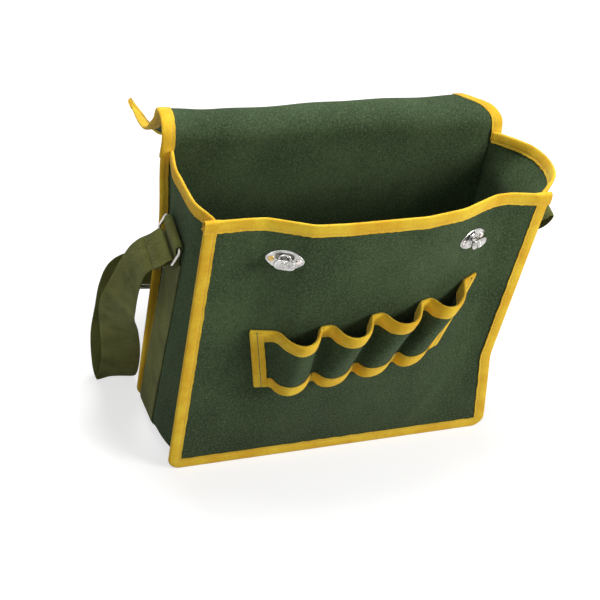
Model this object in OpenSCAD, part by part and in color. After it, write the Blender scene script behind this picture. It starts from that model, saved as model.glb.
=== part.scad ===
// Open-mouthed canvas tool bag with bound seams, tool loops, a thrown-back flap and a shoulder strap.
// The origin is on the floor, under the middle of the webbing that carries the bag.
// X runs along the bag, -Y is the front with the tool loops, +Z is up.

/* [Bag body] */
// Width over the bound side seams
bag_w = 340; // [300:5:400]
// Height from the floor to the rim
bag_h = 290; // [270:5:340]
// Depth over the two bound seams
bag_d = 110; // [100:2:140]
// Distance from the front of the bag to the middle of the carrying webbing
strap_setback = 79; // [74:1:84]
// Radius of the lower corners at the seam's edge
corner_r = 22; // [18:1:30]
// Height of the raised seam outside the gusset
seam_flange = 9; // [7:0.5:11]
// How far the front's right edge is pushed in
kink_depth = 14; // [0:1:18]
// Height of the pushed-in place
kink_h = 97; // [80:1:120]
// How far the front bows out between its seams
bow_max = 20; // [8:1:24]
// Height over which the bow grows to its full depth
bow_rise_h = 175; // [150:5:190]
// How far the gusset's right rim bulges
rim_bulge_right = 12; // [4:1:14]
// How far the gusset's left rim bulges
rim_bulge_left = 3; // [0:1:10]

/* [Cloth and webbing] */
// Thickness of the canvas
canvas_t = 1.2; // [1:0.1:1.4]
// Thickness of the binding tape
tape_t = 0.8; // [0.6:0.1:0.9]
// Visible width of the binding tape
tape_w = 12; // [10:0.5:13]
// Thickness of the webbing
webbing_t = 1.6; // [1.2:0.1:2]
// Width of the webbing
webbing_w = 38; // [32:1:40]
// Gap between sewn layers
layer_gap = 0.2; // [0.2:0.05:0.3]
// Lean of the webbing up the sides
webbing_lean = 5; // [0:1:6]

/* [Tool loops] */
// Height of the middle of the band's lower edge
band_z = 117; // [112:1:122]
// Height of the band
band_h = 68; // [60:1:72]
// How far the band's right end is raised above its middle
band_raise = 18; // [0:1:20]
// Half length of the band's upper edge
band_top_half = 112; // [105:1:118]
// Half length of the band's lower edge
band_foot_half = 90; // [84:1:96]
// Number of loops
loop_count = 4; // [3:1:4]
// How far each loop stands out
loop_depth = 14; // [10:1:16]
// Flat length sewn down at each end
band_end_flat = 13; // [13:0.5:15]

/* [Flap] */
// Radius of the roll over the back rim
roll_r = 21; // [18:1:24]
// Turn of the roll from upright
roll_turn = 128; // [115:1:135]
// Straight rise from the back rim to the roll
roll_rise = 5; // [4:0.5:8]
// Height of the closed flap over the rim
closed_lift = 12; // [10:0.5:14]
// Distance in front of the back rim at which the closed flap lies level
closed_lead = 10; // [8:0.5:12]
// Gap between the closed flap and the front
flap_stand = 5; // [4.6:0.1:5.4]
// Length that hangs down the front when closed
flap_drop = 76; // [74:1:80]
// How far the flap's side lies inside the bag's at the roll
flap_in_root = 6; // [4:1:12]
// How far the flap's side lies inside the bag's at its hem
flap_in_hem = 20; // [14:1:24]

/* [Turn locks] */
// Distance of each lock from the middle
lock_x = 94; // [88:1:98]
// How far each lock sits below the rim
lock_below_rim = 40; // [38:1:44]
// Length of the lock plate
lock_plate_l = 37; // [32:1:38]
// Height of the lock plate
lock_plate_h = 21; // [18:1:22]
// Thickness of the lock plate
lock_plate_t = 1.2; // [1:0.1:1.3]
// Length of the turning knob
knob_l = 20; // [17:1:22]
// Height of the turning knob
knob_h = 10; // [8:1:10]
// Thickness of the turning knob
knob_t = 3.2; // [3:0.1:4]
// Height of the post under the knob
post_h = 7.6; // [7.4:0.1:8]
// Radius of the post
post_r = 3; // [2.6:0.1:3.2]
// Radius of the pin that the knob turns on
pin_r = 1.6; // [1.4:0.1:1.8]
// Radial clearance of the knob on its pin
pin_clear = 0.05; // [0.03:0.01:0.08]
// Radius of a rivet's shank
rivet_r = 1.6; // [1.4:0.1:1.8]
// Radius of a rivet's head
rivet_head_r = 2.9; // [2.6:0.1:3]
// Thickness of a rivet's head
rivet_head_t = 0.9; // [0.8:0.1:1]
// Length of the eyelet plates on the flap
eyelet_l = 42; // [40:1:44]
// Height of the eyelet plates on the flap
eyelet_h = 24; // [23:1:25]
// Thickness of an eyelet plate
eyelet_t = 1; // [0.8:0.1:1]
// Clearance of the eyelet's slot round the knob
slot_clear = 3.2; // [3:0.1:3.4]

/* [Rings and shoulder strap] */
// Radius of the ring's wire
wire_r = 1.5; // [1.3:0.1:1.7]
// Distance between the ring's long bars
ring_drop = 19; // [17:1:22]
// Clearance of the ring inside its tab
ring_clear = 0.7; // [0.5:0.05:0.9]
// How far the ring's upper bar hangs below the rim
ring_below_rim = 52; // [46:1:58]
// Tilt of the ring and its tab along the side
ring_tilt = 14; // [0:1:16]
// Angle at which the left ring hangs out from upright
ring_hang_left = 14; // [12:1:20]
// Angle at which the right ring stands out from upright
ring_hang_right = 60; // [50:1:70]
// Length of the strap's end that is sewn round the ring
lap_l = 16; // [14:1:20]
// Depth of the slider's bars
slider_bar = 3; // [2.5:0.1:3.5]
// Length of the slider along the strap
slider_l = 30; // [26:1:34]
// Clearance of the slider round the strap
slider_clear = 0.6; // [0.5:0.05:0.8]
// Distance of the slider's middle from the start of the strap's straight run
slider_along = 16; // [11:1:21]

/* [Hidden] */
$fn = 32;
sides = [-1, 1];
front_y = -strap_setback;
back_y = bag_d - strap_setback;
// Layers of a bound seam, counted from the outer face of the bag
flange_in = tape_t + canvas_t;
seam_stack = 2 * tape_t + 2 * canvas_t;
tape_wall = tape_t + layer_gap;
seam_margin = tape_w + 1.2 * canvas_t;
wall_front = front_y + flange_in + canvas_t;
wall_back = back_y - flange_in - canvas_t;
overrun = 2 * canvas_t;
lock_z = bag_h - lock_below_rim;
ring_z = bag_h - ring_below_rim;
flap_half_root = bag_w / 2 - flap_in_root;
flap_half_hem = bag_w / 2 - flap_in_hem;
// Half thickness of the slot in a tape that is folded over bent cloth
tape_slot = canvas_t / 2 + layer_gap;

corner_step_count = 6;
side_share_levels = [1, 0.96, 0.92, 0.87, 0.82, 0.75, 0.66, 0.55, 0.44, 0.334, 0.22, 0.13];
floor_step_count = 6;
lean = tan(webbing_lean);

function smooth(t) = let (c = min(1, max(0, t))) c * c * (3 - 2 * c);
function unit(v) = v / norm(v);
function mix(a, b, t) = a + (b - a) * t;

// Solids from points: the faces are turned round where they would point inwards
function total(list) = list * [for (v = list) 1];
function six_volumes(pts, tris) = total([for (t = tris) pts[t[0]] * cross(pts[t[1]], pts[t[2]])]);
module closed_solid(pts, tris) {
    polyhedron(pts, six_volumes(pts, tris) > 0 ? [for (t = tris) [t[2], t[1], t[0]]] : tris);
}

// A run of like sections, closed by the triangles in cap
module swept(sections, cap) {
    m = len(sections[0]);
    last = len(sections) - 1;
    closed_solid([for (s = sections) each s], concat(
        [for (i = [0 : last - 1]) for (j = [0 : m - 1])
            let (a = i * m + j, b = i * m + (j + 1) % m) each [[a, b, b + m], [a, b + m, a + m]]],
        [for (t = cap) [t[2], t[1], t[0]]],
        [for (t = cap) [for (v = t) v + last * m]]));
}

// A sheet between two grids of points, given as lists of rows
module slab(outer, inner) {
    n = len(outer);
    m = len(outer[0]);
    shift = n * m;
    rim = concat([for (j = [0 : m - 2]) j], [for (i = [0 : n - 2]) i * m + m - 1],
        [for (j = [m - 1 : -1 : 1]) (n - 1) * m + j], [for (i = [n - 1 : -1 : 1]) i * m]);
    k = len(rim);
    closed_solid(concat([for (r = outer) each r], [for (r = inner) each r]), concat(
        [for (i = [0 : n - 2]) for (j = [0 : m - 2])
            let (a = i * m + j) each [[a, a + 1, a + m + 1], [a, a + m + 1, a + m]]],
        [for (i = [0 : n - 2]) for (j = [0 : m - 2]) let (a = shift + i * m + j)
            each [[a + m + 1, a + 1, a], [a + m, a + m + 1, a]]],
        [for (i = [0 : k - 1]) let (a = rim[i], b = rim[(i + 1) % k])
            each [[b, a, a + shift], [b, a + shift, b + shift]]]));
}

tape_cap = [[0, 1, 2], [0, 2, 7], [7, 2, 3], [7, 3, 6], [3, 4, 5], [3, 5, 6]];
// A tape folded over an edge: at is the cloth's middle on the edge, out goes through the cloth,
// over goes past the edge, and foot is the cloth's middle where the tape ends
function tape_section(at, out, over, foot, half, foot_out) = let (far = half + tape_t,
    low = is_undef(foot_out) ? out : foot_out) [
    foot - low * far, foot - low * half, at - out * half, at + out * half,
    foot + low * half, foot + low * far, at + out * far + over * tape_t, at - out * far + over * tape_t];

// Side and floor line of the bag, drawn in by d, from the left rim round to the right rim
function kink(z) = lookup(z, [[corner_r, 0], [kink_h, kink_depth], [bag_h, 0]]);
rim_bulge_share = 0.83;
function rim_rise(z) = pow(smooth((z / bag_h - rim_bulge_share) / (1 - rim_bulge_share)), 1.3);
side_levels = [for (s = side_share_levels) s * bag_h];
function turn_angle(i) = 90 * i / corner_step_count;
function side_half(side, d, z, kinked, bulge) =
    bag_w / 2 - d - (side > 0 ? kinked * kink(z) : 0) + bulge * rim_rise(z);
function body_line(d, kinked = 1, bulges = [0, 0]) = concat(
    [for (z = side_levels) [-side_half(-1, d, z, kinked, bulges[0]), z]],
    [for (i = [0 : corner_step_count]) [-bag_w / 2 + corner_r - (corner_r - d) * cos(turn_angle(i)),
        corner_r - (corner_r - d) * sin(turn_angle(i))]],
    [for (i = [1 : floor_step_count - 1]) [(bag_w / 2 - corner_r) * (2 * i / floor_step_count - 1), d]],
    [for (i = [corner_step_count : -1 : 0]) [bag_w / 2 - corner_r + (corner_r - d) * cos(turn_angle(i)),
        corner_r - (corner_r - d) * sin(turn_angle(i))]],
    [for (k = [len(side_levels) - 1 : -1 : 0]) let (z = side_levels[k])
        [side_half(1, d, z, kinked, bulges[1]), z]]);
line_count = len(body_line(0));

// The gusset: a flange at each seam, and a wall that swells out to the webbing
webbing_edge = webbing_w / 2 + tape_wall;
function webbing_mid(z) = -lean * max(0, z - corner_r);
front_slope_shares = [0, 0.2, 0.4, 0.6, 0.8];
back_slope_shares = [0.33, 0.66, 1];
function wall_rows(z) = let (mid = webbing_mid(z)) concat(
    [for (s = front_slope_shares) mix(wall_front, mid - webbing_edge, s)],
    [mid - webbing_edge, mid, mid + webbing_edge],
    [for (s = back_slope_shares) mix(mid + webbing_edge, wall_back, s)]);
function wall_inset(y, z) = let (mid = webbing_mid(z)) seam_flange - (seam_flange - webbing_t) * (y < mid
    ? smooth((y - wall_front) / (mid - webbing_edge - wall_front))
    : smooth((wall_back - y) / (wall_back - mid - webbing_edge)));
function kink_share(y) = 1 - smooth((y - front_y) / (strap_setback - webbing_w));
function bulge_share(y) = sin(180 * min(1, max(0, (y - wall_front) / (wall_back - wall_front))));
function wall_point(k, y, extra) = let (z = body_line(0)[k][1],
    p = body_line(wall_inset(y, z) + extra, kink_share(y),
        [rim_bulge_left * bulge_share(y), rim_bulge_right * bulge_share(y)])[k]) [p[0], y, p[1]];
function flange_point(k, y, d) = let (p = body_line(d, y < 0 ? 1 : 0)[k]) [p[0], y, p[1]];
flange_tip = tape_t + layer_gap;
gusset_front = front_y + flange_in;
gusset_back = back_y - flange_in;
function gusset_section(k) = let (z = body_line(0)[k][1], rows = wall_rows(z)) concat(
    [flange_point(k, gusset_front, flange_tip), flange_point(k, gusset_front, seam_flange + canvas_t)],
    [for (y = rows) wall_point(k, y, canvas_t)],
    [flange_point(k, gusset_back, seam_flange + canvas_t), flange_point(k, gusset_back, flange_tip),
        flange_point(k, wall_back, flange_tip)],
    [for (i = [len(rows) - 1 : -1 : 0]) wall_point(k, rows[i], 0)],
    [flange_point(k, wall_front, flange_tip)]);
row_count = len(wall_rows(0));
inner_0 = 2;
inner_n = row_count + 1;
outer_n = row_count + 5;
outer_0 = 2 * row_count + 4;
gusset_cap = concat(
    [[0, 1, inner_0], [0, inner_0, outer_0], [0, outer_0, outer_0 + 1]],
    [for (i = [0 : row_count - 2]) each [[inner_0 + i, inner_0 + i + 1, outer_0 - i - 1],
        [inner_0 + i, outer_0 - i - 1, outer_0 - i]]],
    [[row_count + 3, row_count + 4, outer_n], [row_count + 3, outer_n, inner_n],
        [row_count + 3, inner_n, row_count + 2]]);

module gusset_strip() {
    color("#2f3a28") swept([for (k = [0 : line_count - 1]) gusset_section(k)], gusset_cap);
}

// How far the front stands out: level through each lock's plate, full between them
ramp_half = 20;
fall_x = lock_x + 1.8 * ramp_half;
left_low_share = 0.05;
left_high_share = 0.9;
right_high_share = 0.65;
right_low_share = right_high_share - left_high_share + left_low_share;
right_fall_share = -0.25;
function bow_across(x) = bow_max * lookup(x, [
    [-lock_x - 2 * ramp_half, 0], [-lock_x - ramp_half, left_low_share],
    [-lock_x + ramp_half, left_high_share], [-lock_x + 2.5 * ramp_half, 1],
    [lock_x - 3 * ramp_half, 1], [lock_x - ramp_half, right_high_share],
    [lock_x + ramp_half, right_low_share], [fall_x, right_fall_share], [bag_w / 2 - seam_margin, 0]]);
ramp_angle = atan(bow_max * (left_high_share - left_low_share) / (2 * ramp_half));
function bow_up(z) = sin(90 * min(1, max(0, (z - seam_margin) / bow_rise_h)));
panel_edge = tape_t + layer_gap;
panel_half = bag_w / 2 - panel_edge;
function edge_half(side, z) = z >= corner_r ? side_half(side, panel_edge, z, 1, 0)
    : bag_w / 2 - corner_r + sqrt(max(0, pow(corner_r - panel_edge, 2) - pow(corner_r - z, 2)));
// Moves a place beyond the locks from a panel of half width a to one of half width b
function squeezed(x, a, b) = abs(x) <= fall_x ? x
    : sign(x) * (fall_x + (abs(x) - fall_x) * (b - fall_x) / (a - fall_x));
function front_face(x, z) = front_y + tape_t
    - bow_across(squeezed(x, edge_half(sign(x), z), panel_half)) * bow_up(z);
bow_low = -bow_max * right_fall_share;

// The front's columns: its seams, the ends of each level stretch, and places between
ease_shares = [-0.23, -0.08, 0.08];
front_columns = concat(
    [-lock_x - 2 * ramp_half, -lock_x - ramp_half, -lock_x, -lock_x + ramp_half, -lock_x + 2.5 * ramp_half],
    [for (s = ease_shares) s * bag_w / 2],
    [lock_x - 3 * ramp_half, lock_x - 2 * ramp_half, lock_x - ramp_half, lock_x, lock_x + ramp_half, fall_x]);
panel_columns = concat([-panel_half, -bag_w / 2 + seam_margin], front_columns,
    [bag_w / 2 - seam_margin, panel_half]);
function front_xs(z) = [for (x = panel_columns) squeezed(x, panel_half, edge_half(sign(x), z))];
function front_point(j, z) = let (x = front_xs(z)[j]) [x, front_face(x, z) + canvas_t / 2, z];
low_levels = [for (i = [corner_step_count : -1 : 0]) corner_r - (corner_r - panel_edge) * sin(turn_angle(i))];
front_levels = concat(low_levels, [for (k = [len(side_levels) - 1 : -1 : 1]) side_levels[k]], [bag_h]);
function front_grid(back) = [for (z = front_levels) [for (x = front_xs(z)) [x, front_face(x, z) + back, z]]];

// Frame of a turn lock: -Y points out of the front
function lock_place(side) = [side * lock_x, front_face(side * lock_x, lock_z), lock_z];
module at_lock(side) {
    translate(lock_place(side)) rotate([0, 0, side * ramp_angle]) children();
}
// A cylinder along the lock's own outward direction, from depth a to depth b
module outward(a, b, r) {
    translate([0, -a, 0]) rotate([90, 0, 0]) cylinder(r = r, h = b - a);
}
module almond(l, h) {
    r = (l * l + h * h) / (4 * h);
    intersection() {
        translate([0, r - h / 2]) circle(r = r, $fn = 96);
        translate([0, h / 2 - r]) circle(r = r, $fn = 96);
        square([l * 0.94, h], center = true);
    }
}
module capsule(l, h) {
    square([l - h, h], center = true);
    for (s = sides) translate([s * (l - h) / 2, 0]) circle(d = h);
}
// A flat piece that lies from depth a to depth b of a lock
module lock_layer(a, b) {
    translate([0, -a, 0]) rotate([90, 0, 0]) linear_extrude(b - a) children();
}
rivet_x = lock_plate_l * 0.33;
rivet_fit = pin_clear;

module front_panel() {
    color("#334029") difference() {
        slab(front_grid(0), front_grid(canvas_t));
        for (side = sides) at_lock(side) {
            outward(-overrun, overrun, post_r + rivet_fit);
            for (s = sides) translate([s * rivet_x, 0, 0]) outward(-overrun, overrun, rivet_r + rivet_fit);
        }
    }
}

module back_panel() {
    color("#334029") translate([0, back_y - tape_t, 0]) rotate([90, 0, 0]) linear_extrude(canvas_t)
        polygon(body_line(panel_edge, 0));
}

// Tape folded over a bound seam; the slot takes the panel and the gusset's flange
module seam_tape(kinked) {
    outer = body_line(0, kinked);
    for (layer = [[0, tape_t, tape_w], [seam_stack - tape_t, seam_stack, seam_flange - canvas_t],
            [tape_t, seam_stack - tape_t, tape_t]]) {
        inner = body_line(layer[2], kinked);
        translate([0, layer[1], 0]) rotate([90, 0, 0]) linear_extrude(layer[1] - layer[0])
            polygon(concat(outer, [for (i = [line_count - 1 : -1 : 0]) inner[i]]));
    }
}
module front_binding() {
    color("#f0b93a") translate([0, front_y, 0]) seam_tape(1);
}
module back_binding() {
    color("#f0b93a") translate([0, back_y, 0]) mirror([0, 1, 0]) seam_tape(0);
}

// Tape over the front's rim, between the two side seams
module front_rim_binding() {
    color("#f0b93a") swept([for (j = [1 : len(panel_columns) - 2]) tape_section(front_point(j, bag_h),
        [0, -1, 0], [0, 0, 1], front_point(j, bag_h - tape_w), tape_slot)], tape_cap);
}

// Tape over the gusset's rim
rim_rows = wall_rows(bag_h);
rim_foot_rows = wall_rows(side_levels[1]);
rim_ends = [front_y + seam_stack + layer_gap, back_y - seam_stack - layer_gap];
module gusset_rim_binding(side) {
    k = side < 0 ? 0 : line_count - 1;
    low = side < 0 ? 1 : line_count - 2;
    color("#f0b93a") swept([for (i = [0 : row_count - 1]) let (
        end = i == 0 ? 0 : i == row_count - 1 ? 1 : -1,
        top = end < 0 ? rim_rows[i] : rim_ends[end], foot = end < 0 ? rim_foot_rows[i] : rim_ends[end])
        tape_section(wall_point(k, top, canvas_t / 2), [side, 0, 0], [0, 0, 1],
            wall_point(low, foot, canvas_t / 2), tape_slot)], tape_cap);
}
module gusset_rim_binding_left() {
    gusset_rim_binding(-1);
}
module gusset_rim_binding_right() {
    gusset_rim_binding(1);
}

// The tool loops: a strip sewn down between loops that stand out
loop_step_count = 8;
band_step_count = loop_count * loop_step_count;
end_step_count = 2;
function band_share(i) = let (flat = band_end_flat / (2 * band_top_half))
    i < end_step_count ? flat * i / end_step_count
    : i > band_step_count + end_step_count ? 1 - flat * (band_count - 1 - i) / end_step_count
    : mix(flat, 1 - flat, (i - end_step_count) / band_step_count);
function loop_out(i) = i <= end_step_count || i >= band_step_count + end_step_count ? 0
    : loop_depth * pow(abs(sin(180 * (i - end_step_count) / loop_step_count)), 0.75);
band_count = band_step_count + 2 * end_step_count + 1;
// Middle of the band's cloth at station i and height share v
band_lift = tape_wall + 2 * layer_gap + canvas_t / 2;
function band_mid(i, v) = let (x = mix(-1, 1, band_share(i)) * mix(band_foot_half, band_top_half, v),
    z = band_z + band_h * v + band_raise * x / band_top_half) [x, front_face(x, z) - band_lift - loop_out(i), z];
function band_dir(i, v) = unit(band_mid(min(i + 1, band_count - 1), v) - band_mid(max(i - 1, 0), v));
function band_normal(i, v) = let (t = band_dir(i, v)) unit([t[1], -t[0], 0]);
tape_share = tape_w / band_h;
band_shares = [0, tape_share, 0.5, 1 - tape_share, 1];
module tool_loop_band() {
    grid = [for (s = sides) [for (i = [0 : band_count - 1])
        [for (v = band_shares) band_mid(i, v) + band_normal(i, v) * s * canvas_t / 2]]];
    color("#36432b") slab(grid[1], grid[0]);
}
// Tape along the band's upper or lower edge
module band_tape(v) {
    up = v > 0 ? 1 : -1;
    foot = v - up * tape_share;
    color("#f0b93a") swept([for (i = [0 : band_count - 1]) tape_section(band_mid(i, v), band_normal(i, v),
        [0, 0, up], band_mid(i, foot), tape_slot, band_normal(i, foot))], tape_cap);
}
module tool_loop_top_binding() {
    band_tape(1);
}
module tool_loop_bottom_binding() {
    band_tape(0);
}
// Tape over the band's sewn end, between the upper and the lower tape
module band_end_tape(side) {
    first = side < 0 ? 0 : band_count - 1;
    in_step = side < 0 ? 1 : -1;
    gap_share = (tape_w + layer_gap) / band_h;
    color("#f0b93a") swept([for (v = [gap_share, 0.5, 1 - gap_share]) let (n = band_normal(first, v),
        at = band_mid(first, v), inward = unit(band_mid(first + in_step, v) - at))
        tape_section(at, n, -inward, at + inward * (band_end_flat - tape_w / 4), tape_slot)], tape_cap);
}
module tool_loop_end_binding_left() {
    band_end_tape(-1);
}
module tool_loop_end_binding_right() {
    band_end_tape(1);
}

// The carrying webbing: under the floor and up both sides
load_strap_top = ring_z - 2 * tape_w;
module load_strap() {
    color("#69683a") {
        translate([-bag_w / 2 + corner_r, -webbing_w / 2, 0])
            cube([bag_w - 2 * corner_r, webbing_w, webbing_t]);
        for (side = sides) {
            translate([side * (bag_w / 2 - corner_r), 0, corner_r]) rotate([90, 0, 0])
                translate([0, 0, -webbing_w / 2]) rotate([0, 0, side < 0 ? 180 : 270])
                    rotate_extrude(angle = 90, $fn = 96) translate([corner_r - webbing_t, 0])
                        square([webbing_t, webbing_w]);
            translate([side * (bag_w / 2 - webbing_t / 2), 0, corner_r]) rotate([webbing_lean, 0, 0])
                translate([-webbing_t / 2, -webbing_w / 2, -webbing_t])
                    cube([webbing_t, webbing_w, (load_strap_top - corner_r) / cos(webbing_lean)]);
        }
    }
}

// Frame of a side ring: the upper bar lies along Y, and X points away from the bag
bar_x = bag_w / 2 + webbing_t + wire_r + ring_clear;
ring_mid_y = webbing_mid(ring_z);
module at_ring(side) {
    translate([side * bar_x, ring_mid_y, ring_z]) rotate([ring_tilt, 0, 0]) mirror([side < 0 ? 1 : 0, 0, 0])
        children();
}
tab_in_r = wire_r + ring_clear;
tab_out_r = tab_in_r + webbing_t;
tab_leg = 26;
tab_sewn = 14;
fold_end = -25;
function arc_points(r, a, b) = [for (i = [0 : 12]) r * [cos(mix(a, b, i / 12)), sin(mix(a, b, i / 12))]];
// The tab: webbing sewn to the side, folded over the ring's upper bar
module ring_tab(side) {
    color("#5d6134") at_ring(side) rotate([90, 0, 0]) translate([0, 0, -webbing_w / 2])
        linear_extrude(webbing_w) difference() {
            polygon(concat([[-tab_out_r, -tab_leg]], arc_points(tab_out_r, 180, fold_end),
                [[-tab_in_r + webbing_t, -tab_leg + tab_sewn], [-tab_in_r + webbing_t, -tab_leg]]));
            polygon(concat(arc_points(tab_in_r, 180, fold_end), [[-tab_in_r + layer_gap, -tab_leg + tab_sewn],
                [-tab_in_r, -tab_leg + tab_sewn]]));
        }
}
module ring_tab_left() {
    ring_tab(-1);
}
module ring_tab_right() {
    ring_tab(1);
}

// The rings: bent wire round the webbing's width
ring_half = webbing_w / 2 + 2 * wire_r + ring_clear;
bend_r = 2 * wire_r;
module wire(l) {
    cylinder(r = wire_r, h = l);
}
module wire_ring() {
    for (z = [0, -ring_drop]) translate([0, -ring_half + bend_r, z]) rotate([-90, 0, 0])
        wire(2 * (ring_half - bend_r));
    for (y = sides) translate([0, y * ring_half, -ring_drop + bend_r]) wire(ring_drop - 2 * bend_r);
    for (y = sides) for (z = [0, 1])
        translate([0, y * (ring_half - bend_r), z == 0 ? -bend_r : -ring_drop + bend_r]) rotate([0, 90, 0])
            rotate([0, 0, z == 0 ? (y > 0 ? 90 : 180) : (y > 0 ? 0 : 270)])
                rotate_extrude(angle = 90) translate([bend_r, 0]) circle(r = wire_r);
}
module at_ring_hang(side) {
    at_ring(side) rotate([0, side < 0 ? -ring_hang_left : -ring_hang_right, 0]) children();
}
module side_ring_left() {
    color("#c9c6bb") at_ring_hang(-1) wire_ring();
}
module side_ring_right() {
    color("#c9c6bb") at_ring_hang(1) wire_ring();
}
// The strap's end, folded round the ring's outer bar; it leaves the ring at angle turn
lap_open = lap_l * 0.6;
module strap_lap(side, turn) {
    color("#7d8248") at_ring_hang(side) translate([0, 0, -ring_drop]) rotate([90, turn, 0])
        translate([0, 0, -webbing_w / 2]) linear_extrude(webbing_w) difference() {
            polygon(concat(arc_points(tab_out_r, 90 + fold_end, 270 - fold_end), [[lap_open, -webbing_t],
                [lap_l, -webbing_t], [lap_l, webbing_t], [lap_open, webbing_t]]));
            polygon(concat(arc_points(tab_in_r, 90 + fold_end, 270 - fold_end), [[lap_open, 0]]));
        }
}
module strap_end_left() {
    strap_lap(-1, 45);
}
module strap_end_right() {
    strap_lap(1, 35);
}

// The shoulder strap's free run: middle points, and the direction across its width, set out beside a bag
// of this half width, back and ring height. The points move with the bag's sides, its back and its rings.
set_out = [170, 31, 238];
function end_share(t) = min(1, max(-1, t));
function moved(p) = let (share = [for (i = [0 : 2]) end_share(p[i] / set_out[i])]) p
    + [share[0] * (bag_w / 2 - set_out[0]),
        max(0, share[1]) * (back_y - set_out[1]) + share[2] * (ring_mid_y - webbing_mid(set_out[2])),
        share[2] * (ring_z - set_out[2])];
set_out_route = [
    [[-192.9, -12.3, 211.6], [0, -0.97, -0.24]],
    [[-197.3, -11.7, 208.6], [0, -0.97, -0.24]],
    [[-202, -9.5, 199], [0.1, -0.97, -0.2]],
    [[-205.5, -5.5, 180], [0.25, -0.95, -0.1]],
    [[-207, 2, 153], [0.45, -0.89, 0]],
    [[-205, 16, 124], [0.68, -0.72, 0]],
    [[-195, 32, 88], [0.88, -0.46, 0]],
    [[-186, 44, 50], [0.95, -0.3, 0]],
    [[-183, 51, 20], [0.97, -0.24, 0]],
    [[-183, 60, 3.5], [0.99, -0.12, 0]],
    [[-186, 70, 14], [1, 0, 0]],
    [[-189, 76, 48], [1, 0, 0]],
    [[-188, 75, 84], [1, 0, 0]],
    [[-187, 72, 112], [0.9, 0, -0.44]],
    [[-181, 70, 130.8], [0.5, 0, -0.87]],
    [[-166, 69, 130], [0, 0, -1]],
    [[-130, 67, 128], [0, 0, -1]],
    [[-94, 65, 126], [0, 0, -1]],
    [[-58, 63, 124], [0, 0, -1]],
    [[20, 59, 124], [0, 0, -1]],
    [[90, 57, 134], [0, 0, -1]],
    [[140, 56, 152], [-0.1, 0, -0.99]],
    [[170, 51, 165], [-0.2, -0.05, -0.97]],
    [[187, 40, 177], [-0.3, -0.2, -0.93]],
    [[197, 25, 188], [-0.3, -0.45, -0.84]],
    [[203, 9, 200], [-0.2, -0.65, -0.74]],
    [[206.5, -4, 212], [-0.1, -0.8, -0.6]],
    [[209.5, -13, 223], [0, -0.93, -0.36]],
    [[211, -17, 231], [0, -0.97, -0.24]],
    [[210, -18.4, 236.5], [0, -0.97, -0.24]],
    [[205.7, -18.3, 235.75], [0, -0.97, -0.24]]];
strap_route = [for (p = set_out_route) [moved(p[0]), p[1]]];
route_step_count = 3;
function spline(a, b, c, d, t) = 0.5 * (2 * b + (c - a) * t + (2 * a - 5 * b + 4 * c - d) * t * t
    + (3 * b - a - 3 * c + d) * t * t * t);
route_last = len(strap_route) - 1;
function route_value(i, part, t) = spline(strap_route[max(0, i - 1)][part], strap_route[i][part],
    strap_route[min(route_last, i + 1)][part], strap_route[min(route_last, i + 2)][part], t);
function route_values(part) = concat([for (i = [0 : route_last - 1]) for (s = [0 : route_step_count - 1])
    route_value(i, part, s / route_step_count)], [strap_route[route_last][part]]);
strap_mid = route_values(0);
strap_across = route_values(1);
strap_last = len(strap_mid) - 1;
strap_length = total([for (i = [1 : strap_last]) norm(strap_mid[i] - strap_mid[i - 1])]);
function strap_tangent(i) = unit(strap_mid[min(i + 1, strap_last)] - strap_mid[max(i - 1, 0)]);
function strap_width(i) = let (t = strap_tangent(i), w = strap_across[i]) unit(w - t * (w * t));
module strap_stretch(first, last) {
    grid = [for (s = sides) [for (i = [first : last]) let (w = strap_width(i), n = cross(strap_tangent(i), w))
        [for (e = sides) strap_mid[i] + w * e * webbing_w / 2 + n * s * webbing_t / 2]]];
    color("#75793f") slab(grid[0], grid[1]);
}
// The leads bend when a ring swings
left_lead = 4 * route_step_count;
right_lead = strap_last - 5 * route_step_count;
module strap_lead_left() {
    strap_stretch(0, left_lead);
}
module strap_lead_right() {
    strap_stretch(right_lead, strap_last);
}
module shoulder_strap() {
    strap_stretch(left_lead, right_lead);
}

// The slider on the strap's straight run behind the bag
run_a = strap_route[15][0];
run_b = strap_route[17][0];
run_turn = atan2(run_b[1] - run_a[1], run_b[0] - run_a[0]);
run_dip = atan2(run_a[2] - run_b[2], norm([run_b[0] - run_a[0], run_b[1] - run_a[1]]));
slider_at = mix(run_a, run_b, slider_along / (run_b[0] - run_a[0]));
slider_half = webbing_w / 2 + slider_clear;
slider_lift = webbing_t / 2 + slider_clear;
module strap_slider() {
    color("#b9b9b4") translate(slider_at) rotate([0, run_dip, run_turn]) {
        deep = slider_lift + slider_bar;
        for (z = [slider_half, -slider_half - slider_bar])
            translate([-slider_l / 2, -deep, z]) cube([slider_l, 2 * deep, slider_bar]);
        end_x = (slider_l - slider_bar) / 2;
        for (place = [[-end_x, slider_lift], [end_x, slider_lift], [0, -deep]])
            translate([place[0] - slider_bar / 2, place[1], -slider_half])
                cube([slider_bar, slider_bar, 2 * slider_half]);
    }
}

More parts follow.
